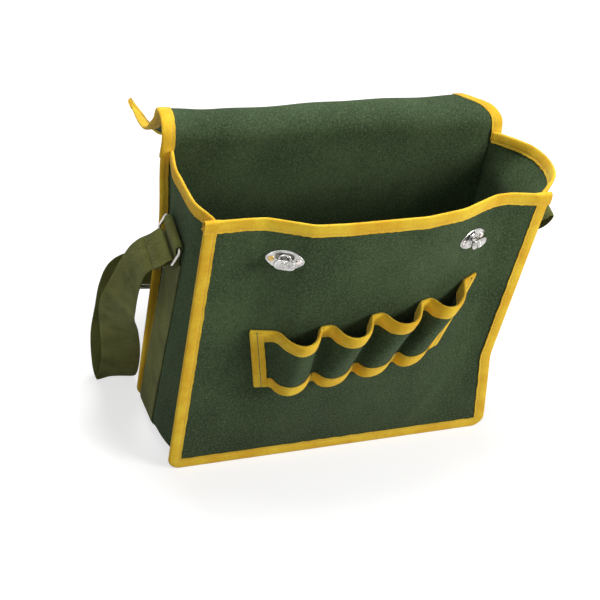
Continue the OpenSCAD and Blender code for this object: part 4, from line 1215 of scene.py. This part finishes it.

# %% [markdown]
# ## The shoulder strap
# The strap hangs from the left ring in a long loop, twists, touches the floor and comes back up behind
# the bag to the right ring. Its route is a list of points with the direction of its width, joined by a
# smooth curve through all of them. The first and last stretches are pieces of their own.

# %% Route of the shoulder strap
route = np.array([
    [-190.4, -12.6, 213.3, 0, -.97, -.24], [-197.3, -11.7, 208.6, 0, -.97, -.24],
    [-202, -9.5, 199, .1, -.97, -.2], [-205.5, -5.5, 180, .25, -.95, -.1], [-207, 2, 153, .45, -.89, 0],
    [-205, 16, 124, .68, -.72, 0], [-195, 32, 88, .88, -.46, 0], [-186, 44, 50, .95, -.3, 0],
    [-183, 51, 20, .97, -.24, 0], [-183, 60, 3.5, .99, -.12, 0], [-186, 70, 14, 1, 0, 0],
    [-189, 76, 48, 1, 0, 0], [-188, 75, 84, 1, 0, 0], [-187, 72, 112, .9, 0, -.44],
    [-181, 70, 130.8, .5, 0, -.87], [-166, 69, 130, 0, 0, -1], [-130, 67, 128, 0, 0, -1],
    [-94, 65, 126, 0, 0, -1], [-58, 63, 124, 0, 0, -1], [20, 59, 124, 0, 0, -1], [90, 57, 134, 0, 0, -1],
    [140, 56, 152, -.1, 0, -.99], [170, 51, 165, -.2, -.05, -.97], [187, 40, 177, -.3, -.2, -.93],
    [197, 25, 188, -.3, -.45, -.84], [203, 9, 200, -.2, -.65, -.74], [206.5, -4, 212, -.1, -.8, -.6],
    [209.5, -13, 223, 0, -.93, -.36], [211, -17, 231, 0, -.97, -.24], [210, -18.4, 236.5, 0, -.97, -.24],
    [203.2, -18.2, 235.3, 0, -.97, -.24]])
steps = 8
dense = curve_through(route, steps)
strap_mid = dense[:, :3]
strap_across = dense[:, 3:]
strap_long = lengths_along(strap_mid)[-1]
print("shoulder strap is", round(strap_long), "mm long between its folds")

# %% Shoulder strap and its leads
left_lead = 4 * steps
right_lead = len(dense) - 1 - 5 * steps
w, n = web_frame(strap_mid, strap_across)
for name, node, a, b in (("strap_lead_left_web", "strap_lead_left", 0, left_lead),
                         ("shoulder_strap_web", "shoulder_strap", left_lead, right_lead),
                         ("strap_lead_right_web", "strap_lead_right", right_lead, len(dense) - 1)):
    part = swept(strap_mid[a:b + 1], w[a:b + 1], n[a:b + 1], web_section())
    strap = joined(name, [part], webbing)
    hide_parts(node)
    if node == "shoulder_strap":
        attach(strap, "bag")
    elif node == "strap_lead_left":
        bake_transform(strap)
    else:
        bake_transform(strap)
print("strap is in three pieces")

# %% [markdown]
# ## The flap
# The flap is one piece of canvas that goes on from the back. It rises from the rim, rolls over
# backwards and hangs down behind the bag. A single formula gives any point on it from its place across
# the cloth and its distance from the rim. The cloth is made in two halves: the first with the roll,
# the second down to the hem. The hem's left corner has curled up and is a third piece.

# %% Shape of the flap
roll_centre = np.array([50.6, 295.0])
roll_r = 21.0
roll_turn = math.radians(128)
roll_long = roll_r * roll_turn
slope_from = 5.0 + roll_long
top_long = 97.8
flap_long = 173.8
slope_way = np.array([0.78801, -0.61566])
slope_up = np.array([0.61566, 0.78801])
hem_at = slope_from + flap_long


def flap_bow(x):
    # how far the cloth is swollen outwards, as it was over the bag's front
    x = np.asarray(x, float)
    right_end = from_table(x, [(114, -4.0), (134, 0.0)], 3)
    return np.where(x < 112, bow_across(x), right_end) + 5.0


half_right = [(-10, 171), (15, 170), (27, 163), (39, 145), (49, 141), (62, 147), (92, 157), (150, 153),
              (226, 150)]
half_left = [(-10, 171), (20, 170), (52, 168), (95, 162), (150, 153), (226, 150)]
curl_share = 0.78
curl_from = slope_from + 107.0
curl_high = 36.0


def flap_half(side, q):
    return from_table(q, half_right if side > 0 else half_left, 5)


def curl_lift(x, q):
    # the hem's left corner has curled up
    a = np.clip((-x / flap_half(-1, q) - curl_share) / (1 - curl_share), 0, 1)
    b = np.clip((q - curl_from) / (hem_at - curl_from), 0, 1)
    return curl_high * a ** 1.3 * b ** 1.5


def flap_point(x, q):
    x, q = np.broadcast_arrays(np.asarray(x, float), np.asarray(q, float))
    a = np.clip((q - 5) / roll_r, 0, roll_turn)
    y = np.where(q < 5, 29.6, roll_centre[0] - roll_r * np.cos(a))
    z = np.where(q < 5, rim + q, roll_centre[1] + roll_r * np.sin(a))
    down = np.maximum(q - slope_from, 0)
    y = y + down * slope_way[0]
    z = z + down * slope_way[1]
    t = np.clip(down / top_long, 0, 1)
    sag = flap_bow(x) * t ** 2
    wave = 0.8 * np.sin(x / 37 + q / 60) * np.sin(q / 24 + x / 85) + 0.4 * np.sin(x / 12.5 - q / 19)
    # no waves where the cloth is sewn: at the rim, at the hem and along the sides
    sag = (sag - wave * smooth((q - 4) / 22) * smooth((hem_at - 8 - q) / 20)
           * smooth((148 - np.abs(x)) / 18))
    y = y - sag * slope_up[0]
    z = z - sag * slope_up[1]
    # the right end of the roll has sunk a little backwards
    sunk = smooth((x - 40) / 125) * np.sin(np.pi * np.clip(q / 120, 0, 1))
    y = y + 5.0 * sunk
    z = z - 4.0 * sunk
    lift = curl_lift(x, q)
    curled = np.stack([x + 0.15 * lift, y + lift * slope_up[0], z + lift * slope_up[1]], -1)
    return drawn_out(curled)


def flap_frame(x, q):
    step = 0.4
    across = flap_point(x + step, q) - flap_point(x - step, q)
    along = flap_point(x, q + step) - flap_point(x, q - step)
    return unit(np.cross(across, along)), unit(along), unit(across)


print("flap is", round(hem_at), "mm long from the rim to its hem")

# %% Flap cloth in two halves and a corner
split_at = slope_from + 0.5 * top_long
corner_columns = 14
corner_row = 25
flap_shares = np.concatenate([np.linspace(-1, -curl_share, corner_columns + 1)[:-1],
                              np.linspace(-curl_share, 1, 78)])


def flap_grid(qs):
    rows = []
    for q in qs:
        half = np.where(flap_shares < 0, flap_half(-1, q), flap_half(1, q)) - 1.0
        rows.append(flap_point(flap_shares * half, q))
    return np.array(rows)


roll_qs = np.concatenate([np.linspace(-1, slope_from, 44)[:-1], np.linspace(slope_from, split_at, 18)])
hem_qs = np.concatenate([np.linspace(split_at, curl_from, corner_row + 1)[:-1],
                         np.linspace(curl_from, hem_at - 1.0, 30)])
hem_grid = flap_grid(hem_qs)
is_corner = np.zeros((len(hem_qs) - 1, len(flap_shares) - 1), bool)
is_corner[corner_row:, :corner_columns] = True
flap_roll = joined("flap_roll", [cloth_shell(flap_grid(roll_qs), canvas_thick)], canvas)
flap_rest = joined("flap_front", [cloth_shell(hem_grid, canvas_thick, keep=~is_corner)], canvas)
flap_corner = joined("flap_corner", [cloth_shell(hem_grid, canvas_thick, keep=is_corner)], canvas)
print("flap cloth:", len(flap_roll.data.polygons) + len(flap_rest.data.polygons), "faces")

# %% [markdown]
# ## Slots in the flap
# When the flap is shut, the two turning knobs come through two slots. The slots are cut through the
# cloth with a solid of the slot's shape. The lock's place on the closed flap is known, so the same two
# turns that open the flap carry the cutter and the metal plates to where they are now.

# %% From the closed flap to the open one
lock_turn = math.radians(23.0255)
lock_at = {-1: (-94.0, -87.7, 250.0), 1: (94.0, -82.7, 250.0)}
fold_a = np.array([39.9206, 314.337])
fold_b_closed = np.array([-78.2, 302.0])
opened_by = 218


def swung(points, degrees, centre):
    return turn_about_x(points - [0, *centre], math.radians(degrees)) + [0, *centre]


def at_lock(side, points):
    # points are (along the plate, outward, up)
    points = np.asarray(points, float)
    c, s = math.cos(side * lock_turn), math.sin(side * lock_turn)
    x, out, z = points[..., 0], points[..., 1], points[..., 2]
    return np.stack([x * c + out * s, x * s - out * c, z], -1) + lock_at[side]


def at_flap(side, points):
    return swung(swung(at_lock(side, points), -90, fold_b_closed), -opened_by, fold_a)


def almond(long, high, count=48):
    r = (long * long + high * high) / (4 * high)
    x = np.concatenate([np.linspace(-0.47, 0.47, count // 2), np.linspace(0.47, -0.47, count // 2)]) * long
    z = np.sqrt(r * r - x * x) - (r - high / 2)
    z[count // 2:] *= -1
    return np.stack([x, z], -1)


def capsule(long, high, count=48):
    a = np.linspace(np.pi, -np.pi, count, endpoint=False) - 0.5 * np.pi / count
    shift = np.sign(np.cos(a)) * (long - high) / 2
    return np.stack([np.cos(a) * high / 2 + shift, np.sin(a) * high / 2], -1)


fold_b_open = swung(np.array([[0, *fold_b_closed]]), -opened_by, fold_a)[0]
print("fold above the hem lies at", np.round(fold_b_open, 1))

# %% Cut the slots
for side in (-1, 1):
    ring = capsule(27.6, 14.4)
    ends = [at_flap(side, np.column_stack([ring[:, 0], np.full(len(ring), out), ring[:, 1]]))
            for out in (-6, 16)]
    solid = facing_out(np.vstack(ends), ring_faces(2, len(ring)))
    cutter = new_piece("slot_cutter", *solid, canvas)
    cut = flap_rest.modifiers.new("slot", "BOOLEAN")
    cut.operation = "DIFFERENCE"
    cut.object = cutter
    cut.solver = "EXACT"
    graph = bpy.context.evaluated_depsgraph_get()
    opened = bpy.data.meshes.new_from_object(flap_rest.evaluated_get(graph))
    flap_rest.modifiers.clear()
    flap_rest.data = opened
    bpy.data.objects.remove(cutter)
flap_rest.data.shade_smooth()
flap_rest.data.set_sharp_from_angle(angle=math.radians(50))
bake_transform(flap_roll)
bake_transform(flap_rest)
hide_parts("flap_roll_cloth", "flap_top_cloth")
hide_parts("flap_front_cloth")


def ride_corner(piece):
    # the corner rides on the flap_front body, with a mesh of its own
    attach(piece, "flap_front")
    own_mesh(piece)


ride_corner(flap_corner)
print("slots cut:", len(flap_rest.data.polygons), "faces left in the lower half")


# %% Flap tapes
def flap_tape(side, q_from, q_to, count, seed, body):
    qs = np.linspace(q_from, q_to, count)
    edge = side * (flap_half(side, qs) - 1.0)
    depths = np.linspace(0, 13, 7)
    lines = np.array([flap_point(edge - side * d, qs) for d in depths])
    normals = np.array([flap_frame(edge - side * max(d, 1.0), qs)[0] for d in depths])
    stack = mix(0.75, 2.1, smooth((6 - qs) / 5))
    return folded_tape(lines[0], normals[0], lines[0] - lines[-1], stack, tape_wide, tape_wide, tip=0.9,
                       seed=seed, body=body, sheet=(depths, lines, normals))


def hem_tape(x_from, x_to, count, seed, body):
    xs = np.linspace(x_from, x_to, count)
    qs = np.full(count, hem_at - 1.0)
    depths = np.linspace(0, 13, 7)
    lines = np.array([flap_point(xs, qs - d) for d in depths])
    normals = np.array([flap_frame(xs * 0.99, qs - max(d, 1.0))[0] for d in depths])
    stack = mix(0.75, 1.6, smooth((np.abs(xs) - 134) / 4))
    return folded_tape(lines[0], normals[0], lines[0] - lines[-1], stack, tape_wide, tape_wide, tip=0.9,
                       seed=seed, body=body, sheet=(depths, lines, normals))


hem_half = float(flap_half(1, hem_at - 1))
corner_x = -curl_share * hem_half
roll_parts = [flap_tape(side, -7.5, split_at, 60, 41 + side, "flap roll") for side in (-1, 1)]
roll_tape = joined("flap_roll_tapes", roll_parts, tape)
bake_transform(roll_tape)
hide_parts("flap_roll_bindings", "flap_top_bindings")
rest_parts = [flap_tape(1, split_at, hem_at - 0.6, 60, 46, "flap rest"),
              flap_tape(-1, split_at, curl_from, 30, 44, "flap rest"),
              hem_tape(corner_x, hem_half, 120, 53, "flap rest")]
rest_tape = joined("flap_front_tapes", rest_parts, tape)
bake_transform(rest_tape)
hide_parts("flap_front_binding")
corner_parts = [flap_tape(-1, curl_from, hem_at - 0.6, 40, 44, "flap corner"),
                hem_tape(-hem_half, corner_x, 40, 53, "flap corner")]
corner_tape = joined("flap_corner_tapes", corner_parts, tape)
ride_corner(corner_tape)
print("flap tapes:", len(roll_tape.data.polygons) + len(rest_tape.data.polygons), "faces")

# %% [markdown]
# ## Metal pieces
# Small stamped and turned parts need rounded edges, because an edge with no radius never catches the
# light. Plates are an outline stacked in thin layers that are drawn in at the top and bottom. Turned
# parts are a profile spun round an axis.

# %% Helpers for metal
def stacked(outline, layers, place):
    # layers are (outward, drawn in); the first and last are closed
    outline = np.asarray(outline, float)
    n = len(outline)
    size = np.abs(outline).max(axis=0)
    rings = []
    for out, drawn in layers:
        ring = outline * (1 - drawn / size)
        rings.append(np.column_stack([ring[:, 0], np.full(n, out), ring[:, 1]]))
    return facing_out(place(np.vstack(rings)), ring_faces(len(rings), n))


def spun(profile, place, count=32):
    # profile is (radius, outward) from the axis back to the axis
    a = np.linspace(0, 2 * np.pi, count, endpoint=False)
    rings = [np.column_stack([r * np.cos(a), np.full(count, out), r * np.sin(a)]) for r, out in profile]
    return facing_out(place(np.vstack(rings)), ring_faces(len(rings), count))


def domed(radius, low, high, rings=6):
    a = np.radians(np.linspace(0, 84, rings))
    return [(radius * 0.9, low), (radius, low + 0.15)] + [
        (radius * math.cos(k) ** 0.8, low + 0.15 + (high - low - 0.15) * math.sin(k)) for k in a[1:]]


def moved_out(side, x=0.0):
    return lambda points: at_lock(side, np.asarray(points) + [x, 0, 0])


print("metal helpers are ready")

# %% [markdown]
# ## Turn locks
# A lock is an almond-shaped plate riveted to the front, with a post that carries an oval knob. A twist
# of the knob locks the flap's slotted plate behind it. The plate's middle is pressed up into a low
# ring round the post, and the knob has a round hub with the end of its pin showing.

# %% Turn locks
rivet_x = 12.21
plate_outline = almond(37, 21, 64)
metal_sharp = 35
for side, label in ((-1, "left"), (1, "right")):
    place = moved_out(side)
    plate = stacked(plate_outline, [(0, 0.25), (0.3, 0), (0.75, 0.05), (1.05, 0.35), (1.2, 0.9)], place)
    boss = spun([(0.5, 1.0), (6.4, 1.1), (6.0, 1.6), (5.2, 1.95), (4.4, 1.7), (4.0, 1.3),
                 (0.5, 1.3)], place)
    piece = joined("lock_plate_%s_metal" % label, [plate, boss], painted_reflection_chrome, metal_sharp)
    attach(piece, "bag")
    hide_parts("lock_plate_" + label)
    under = stacked(plate_outline, [(-2.5, 0.5), (-2.3, 0.05), (-1.5, 0), (-1.3, 0.25)], place)
    piece = joined("lock_back_plate_%s_metal" % label, [under], dull_back, metal_sharp)
    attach(piece, "bag")
    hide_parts("lock_back_plate_" + label)
    post = spun([(0.3, -3.4), (3.4, -3.4), (3.9, -3.1), (3.9, -2.7), (3.0, -2.5), (3.0, 6.9), (2.6, 7.5),
                 (1.55, 7.55), (1.55, 10.5), (1.2, 10.85), (0.3, 10.95)], place)
    piece = joined("lock_post_%s_metal" % label, [post], painted_reflection_chrome, metal_sharp)
    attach(piece, "bag")
    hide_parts("lock_post_" + label)
    wing = stacked(capsule(20, 10, 64), [(7.6, 0.6), (7.75, 0.15), (8.1, 0), (9.1, 0), (9.6, 0.25),
                                         (9.85, 0.7), (10.0, 1.6)], place)
    hub = spun([(1.7, 7.6), (4.2, 7.6), (4.2, 10.2), (3.95, 10.65), (3.4, 10.8), (2.5, 10.8),
                (2.1, 10.5), (1.7, 10.3)], place)
    piece = joined("lock_knob_%s_metal" % label, [wing, hub], painted_reflection_chrome, metal_sharp)
    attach(piece, "knob_" + label)
    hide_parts("lock_knob_" + label)
print("two turn locks are made")

# %% Rivets
brass_parts = []
nickel_parts = []
for side in (-1, 1):
    for end in (-1, 1):
        place = moved_out(side, x=end * rivet_x)
        head = spun(domed(2.9, 1.2, 2.3), place, 24)
        foot = spun([(0.3, -3.4), (2.5, -3.4), (2.9, -3.1), (2.9, -2.6), (2.7, -2.5),
                     (0.3, -2.5)], place, 24)
        (brass_parts if side < 0 and end < 0 else nickel_parts).append(head)
        nickel_parts.append(foot)
warm_rivets = joined("rivet_left_outer", brass_parts, brass, metal_sharp)
pale_rivets = joined("rivets_other", nickel_parts, nickel, metal_sharp)
for piece in (warm_rivets, pale_rivets):
    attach(piece, "bag")
    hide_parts("lock_rivets")
print("four rivets are set")


# %% Slotted plates on the flap
def slotted_plate(side, low, high):
    # both outlines start at the same end and go round the same way, so that their points pair up
    outer = almond(42, 24)
    inner = capsule(26.4, 13.2)
    inner = inner[np.argsort(-np.arctan2(inner[:, 1], inner[:, 0]))]
    outer = outer[np.argsort(-np.arctan2(outer[:, 1], outer[:, 0] * 0.6))]
    n = len(outer)
    size = np.abs(outer).max(axis=0)
    hole = np.abs(inner).max(axis=0)
    rings = [(outer * (1 - 0.5 / size), low), (outer, low + 0.3), (outer, high - 0.35),
             (outer * (1 - 0.6 / size), high), (inner * (1 + 0.6 / hole), high), (inner, high - 0.35),
             (inner, low + 0.3), (inner * (1 + 0.3 / hole), low)]
    points = at_flap(side, np.vstack([np.column_stack([r[:, 0], np.full(n, out), r[:, 1]])
                                      for r, out in rings]))
    faces = []
    for i in range(len(rings)):
        l = (i + 1) % len(rings)
        for j in range(n):
            k = (j + 1) % n
            faces.append([i * n + j, i * n + k, l * n + k, l * n + j])
    return facing_out(points, faces)


for name, node, low, high, finish, slot in (
        ("eyelet_fronts", "eyelet_plates_front", 5.4, 6.4, painted_reflection_chrome, "lock_metal"),
        ("eyelet_backs", "eyelet_plates_back", 2.8, 3.8, dull_back, "back_metal")):
    piece = joined(name, [slotted_plate(side, low, high) for side in (-1, 1)], finish, metal_sharp)
    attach(piece, "flap_front")
    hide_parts(node)
print("slotted plates are made")

# %% [markdown]
# ## Wire rings and slider
# The rings are one bent wire each, closed with rounded corners. The slider behind the bag is a small
# frame with a middle bar, and its bars are flat with rounded edges. Both are an outline moved along a
# path: a circle for the wire and a softened oblong for the bars.

# %% Rings
def wire_loop(points, radius, count=12):
    t = unit(np.roll(points, -1, 0) - np.roll(points, 1, 0))
    flat = np.cross(points[2] - points[0], points[len(points) // 2] - points[0])
    n = unit(np.repeat(flat[None], len(points), 0))
    b = np.cross(t, n)
    a = np.linspace(0, 2 * np.pi, count, endpoint=False)
    return swept(points, n, b, np.stack([np.cos(a), np.sin(a)], -1) * radius, closed=True)


def rounded_frame(half_y, high, r, steps=6):
    corners = [(half_y - r, -r, 90, 0), (half_y - r, -high + r, 0, -90),
               (-half_y + r, -high + r, -90, -180), (-half_y + r, -r, 180, 90)]
    points = []
    for cy, cz, a0, a1 in corners:
        for a in np.radians(np.linspace(a0, a1, steps)):
            points.append((0, cy + r * math.cos(a), cz + r * math.sin(a)))
    points = np.array(points)
    dense_points = []
    for p, q in zip(points, np.roll(points, -1, 0)):
        pieces = max(1, int(np.linalg.norm(q - p) / 4))
        dense_points += [mix(p, q, k / pieces) for k in range(pieces)]
    return np.array(dense_points)


for side, label in ((-1, "left"), (1, "right")):
    loop = at_hang(side, rounded_frame(22.7, ring_deep, 3.0))
    piece = joined("ring_%s_wire" % label, [wire_loop(loop, wire_r)], wire_steel)
    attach(piece, "ring_" + label)
    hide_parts("side_ring_" + label)
print("rings are bent")

# %% Slider
slider_at = np.array([-150.0, 68.111, 129.111])
run_turn = math.radians(-3.1798)
run_dip = math.radians(3.175)


def at_slider(points):
    points = turn_about_y(np.asarray(points, float), run_dip)
    c, s = math.cos(run_turn), math.sin(run_turn)
    return np.stack([c * points[..., 0] - s * points[..., 1], s * points[..., 0] + c * points[..., 1],
                     points[..., 2]], -1) + slider_at


def flat_bar(p, q, way, wide, thick):
    p, q = np.asarray(p, float), np.asarray(q, float)
    path = np.array([mix(p, q, t) for t in np.linspace(0, 1, 9)])
    t = unit(q - p)
    w = unit(np.asarray(way, float))
    n = np.cross(t, w)
    a = np.linspace(0, 2 * np.pi, 16, endpoint=False) + np.pi / 16
    edge = np.stack([np.sign(np.cos(a)) * np.abs(np.cos(a)) ** 0.45 * wide / 2,
                     np.sign(np.sin(a)) * np.abs(np.sin(a)) ** 0.45 * thick / 2], -1)
    points, faces, uv = swept(path, np.repeat(w[None], 9, 0), np.repeat(n[None], 9, 0), edge)
    return at_slider(points), faces, uv


bars = [flat_bar((-15, 0, z), (15, 0, z), (0, 1, 0), 8.6, 3.0) for z in (21.1, -21.1)]
for x, y in ((-13.5, 2.9), (13.5, 2.9), (0, -2.9)):
    bars.append(flat_bar((x, y, -20.4), (x, y, 20.4), (1, 0, 0), 3.0, 2.8))
slider = joined("slider_steel", bars, brushed, 40)
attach(slider, "slider")
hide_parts("strap_slider")
print("slider:", len(slider.data.polygons), "faces")

# %% [markdown]
# ## Stitches
# There are far too many stitches to place by hand. A Geometry Nodes tree takes the lines that each
# sewn piece left behind, cuts them into equal steps and puts one short thread on each step, turned
# along the line. The length, gap and thickness of a stitch are inputs, and a small random turn keeps
# the row from looking machine-drawn.

# %% The stitch tree
stitch_tree = bpy.data.node_groups.new("stitches", "GeometryNodeTree")
stitch_tree.interface.new_socket(name="Geometry", in_out="INPUT", socket_type="NodeSocketGeometry")
for label, value in (("Stitch pitch", 0.0042), ("Thread radius", 0.0004), ("Fill", 0.72),
                     ("Waver", 0.12)):
    socket = stitch_tree.interface.new_socket(name=label, in_out="INPUT", socket_type="NodeSocketFloat")
    socket.default_value = value
stitch_tree.interface.new_socket(name="Thread", in_out="INPUT", socket_type="NodeSocketMaterial")
stitch_tree.interface.new_socket(name="Geometry", in_out="OUTPUT", socket_type="NodeSocketGeometry")
entry = stitch_tree.nodes.new("NodeGroupInput")
leave_tree = stitch_tree.nodes.new("NodeGroupOutput")
to_curve = stitch_tree.nodes.new("GeometryNodeMeshToCurve")
resample = add_node(stitch_tree, "GeometryNodeResampleCurve")
resample.mode = "LENGTH"
to_points = stitch_tree.nodes.new("GeometryNodeInstanceOnPoints")
tangent = stitch_tree.nodes.new("GeometryNodeInputTangent")
turn_to = stitch_tree.nodes.new("FunctionNodeAlignRotationToVector")
turn_to.axis = "Z"
thread = stitch_tree.nodes.new("GeometryNodeMeshUVSphere")
thread.inputs["Segments"].default_value = 6
thread.inputs["Rings"].default_value = 5
thread.inputs["Radius"].default_value = 1.0
size = stitch_tree.nodes.new("ShaderNodeCombineXYZ")
half_length = add_node(stitch_tree, "ShaderNodeMath", operation="MULTIPLY")
halved = add_node(stitch_tree, "ShaderNodeMath", operation="MULTIPLY")
halved.inputs[1].default_value = 0.5
jitter = stitch_tree.nodes.new("FunctionNodeRandomValue")
jitter.data_type = "FLOAT_VECTOR"
jitter.inputs["Seed"].default_value = 7
scatter = add_node(stitch_tree, "ShaderNodeVectorMath", operation="SCALE")
centre_jitter = add_node(stitch_tree, "ShaderNodeVectorMath", operation="SUBTRACT")
centre_jitter.inputs[1].default_value = (0.5, 0.5, 0.5)
wavered = add_node(stitch_tree, "ShaderNodeVectorMath", operation="ADD")
realize = stitch_tree.nodes.new("GeometryNodeRealizeInstances")
finish_node = stitch_tree.nodes.new("GeometryNodeSetMaterial")
connect = stitch_tree.links.new
connect(entry.outputs["Geometry"], to_curve.inputs[0])
connect(to_curve.outputs[0], resample.inputs["Curve"])
connect(entry.outputs["Stitch pitch"], resample.inputs["Length"])
connect(resample.outputs[0], to_points.inputs["Points"])
connect(jitter.outputs[0], centre_jitter.inputs[0])
connect(centre_jitter.outputs[0], scatter.inputs[0])
connect(entry.outputs["Waver"], scatter.inputs["Scale"])
connect(tangent.outputs[0], wavered.inputs[0])
connect(scatter.outputs[0], wavered.inputs[1])
connect(wavered.outputs[0], turn_to.inputs["Vector"])
connect(turn_to.outputs[0], to_points.inputs["Rotation"])
connect(thread.outputs[0], to_points.inputs["Instance"])
connect(entry.outputs["Stitch pitch"], half_length.inputs[0])
connect(entry.outputs["Fill"], half_length.inputs[1])
connect(half_length.outputs[0], halved.inputs[0])
connect(entry.outputs["Thread radius"], size.inputs[0])
connect(entry.outputs["Thread radius"], size.inputs[1])
connect(halved.outputs[0], size.inputs[2])
connect(size.outputs[0], to_points.inputs["Scale"])
connect(to_points.outputs[0], realize.inputs[0])
connect(realize.outputs[0], finish_node.inputs[0])
connect(entry.outputs["Thread"], finish_node.inputs["Material"])
connect(finish_node.outputs[0], leave_tree.inputs[0])
print("stitch tree has", len(stitch_tree.nodes), "nodes")


# %% Sew one set of lines
def sewn_row(name, lines, thread_material, pitch=4.2, radius=0.4, fill=0.72):
    points = []
    edges = []
    for line in lines:
        start = len(points)
        points += (np.asarray(line) * MM).tolist()
        edges += [(start + k, start + k + 1) for k in range(len(line) - 1)]
    mesh = bpy.data.meshes.new(name)
    mesh.from_pydata(points, edges, [])
    holder = bpy.data.objects.new(name, mesh)
    bpy.context.collection.objects.link(holder)
    tool = holder.modifiers.new("stitches", "NODES")
    tool.node_group = stitch_tree
    values = {"Stitch pitch": pitch * MM, "Thread radius": radius * MM, "Fill": fill,
              "Thread": thread_material}
    for item in stitch_tree.interface.items_tree:
        if item.in_out == "INPUT" and item.name in values:
            tool[item.identifier] = values[item.name]
    graph = bpy.context.evaluated_depsgraph_get()
    made = bpy.data.meshes.new_from_object(holder.evaluated_get(graph))
    holder.modifiers.clear()
    holder.data = made
    made.shade_smooth()
    return holder


for group, lines in tape_seams.items():
    row = sewn_row("tape_stitches_" + group.replace(" ", "_"), lines, yellow_thread, 3.6, 0.42)
    if group == "flap roll":
        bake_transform(row)
    elif group == "flap rest":
        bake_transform(row)
    elif group == "flap corner":
        ride_corner(row)
    else:
        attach(row, group)
    print("tape stitches on", group, "have", len(row.data.polygons), "faces")
for body, lines in dark_seams.items():
    row = sewn_row("dark_stitches_" + body, lines, olive_thread, 4.0, 0.5)
    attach(row, body)
    print("dark stitches on", body, "have", len(row.data.polygons), "faces")
groove = sewn_row("loop_end_grooves", grooves, olive_thread, 2.2, 0.6, 1.25)
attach(groove, "bag")

# %% [markdown]
# ## Floor and light
# The bag stands on a plain pale floor. Its colour, with a little extra that only the camera and
# reflections see, makes the background white, and the floor keeps the soft shadow. One lamp stands
# low on the right, so that the front keeps its light out of the bag and the inside goes dark. A second
# one hangs above and a little behind for the roll and the rims, and a weak one fills from the left.

# %% Floor
def rays_that_see(tree):
    # 1 for the camera and for rays that metal or glass sends on, 0 for light on the bag
    rays = tree.nodes.new("ShaderNodeLightPath")
    seen = sum_node(tree, "MAXIMUM", rays.outputs["Is Camera Ray"], rays.outputs["Is Glossy Ray"])
    return sum_node(tree, "MAXIMUM", seen, rays.outputs["Is Transmission Ray"])


floor_mesh = bpy.data.meshes.new("floor")
floor_mesh.from_pydata([(-6, -6, 0), (6, -6, 0), (6, 6, 0), (-6, 6, 0)], [], [(0, 1, 2, 3)])
floor = bpy.data.objects.new("floor", floor_mesh)
bpy.context.collection.objects.link(floor)
floor_finish = bpy.data.materials.new("pale floor")
floor_finish.use_nodes = True
tree = floor_finish.node_tree
shader = tree.nodes["Principled BSDF"]
shader.inputs["Base Color"].default_value = (0.5, 0.5, 0.5, 1)
shader.inputs["Roughness"].default_value = 0.9
shader.inputs["Specular IOR Level"].default_value = 0.1
shader.inputs["Emission Color"].default_value = (1, 1, 1, 1)
feed(tree, sum_node(tree, "MULTIPLY", rays_that_see(tree), 0.66), shader.inputs["Emission Strength"])
floor_mesh.materials.append(floor_finish)
print("floor is laid")

# %% Lamps and sky
def lamp(name, place, aim, size, watts, colour):
    data = bpy.data.lights.new(name, "AREA")
    data.shape = "DISK"
    data.size = size
    data.energy = watts
    data.color = colour
    thing = bpy.data.objects.new(name, data)
    bpy.context.collection.objects.link(thing)
    thing.location = place
    way = np.array(aim, float) - np.array(place, float)
    flat = math.hypot(way[0], way[1])
    thing.rotation_euler = (math.pi / 2 - math.atan2(-way[2], flat), 0,
                            math.atan2(way[1], way[0]) - math.pi / 2)


bag_middle = (0, 0, 0.15)
lamp("key", (1.15, -1.05, 0.9), bag_middle, 0.7, 20.0, (1.0, 0.98, 0.95))
lamp("overhead", (0.0, 0.45, 1.75), bag_middle, 0.8, 26.0, (1.0, 1.0, 1.0))
lamp("fill", (-1.5, -0.9, 1.1), bag_middle, 1.4, 5.0, (0.96, 0.98, 1.0))
sky = bpy.data.worlds.new("sky")
bpy.context.scene.world = sky
sky.use_nodes = True
tree = sky.node_tree
background = tree.nodes["Background"]
background.inputs["Color"].default_value = (1, 1, 1, 1)
feed(tree, limits(tree, rays_that_see(tree), 0.0, 1.0, 0.17, 1.0), background.inputs["Strength"])
print("three lamps and an even sky")
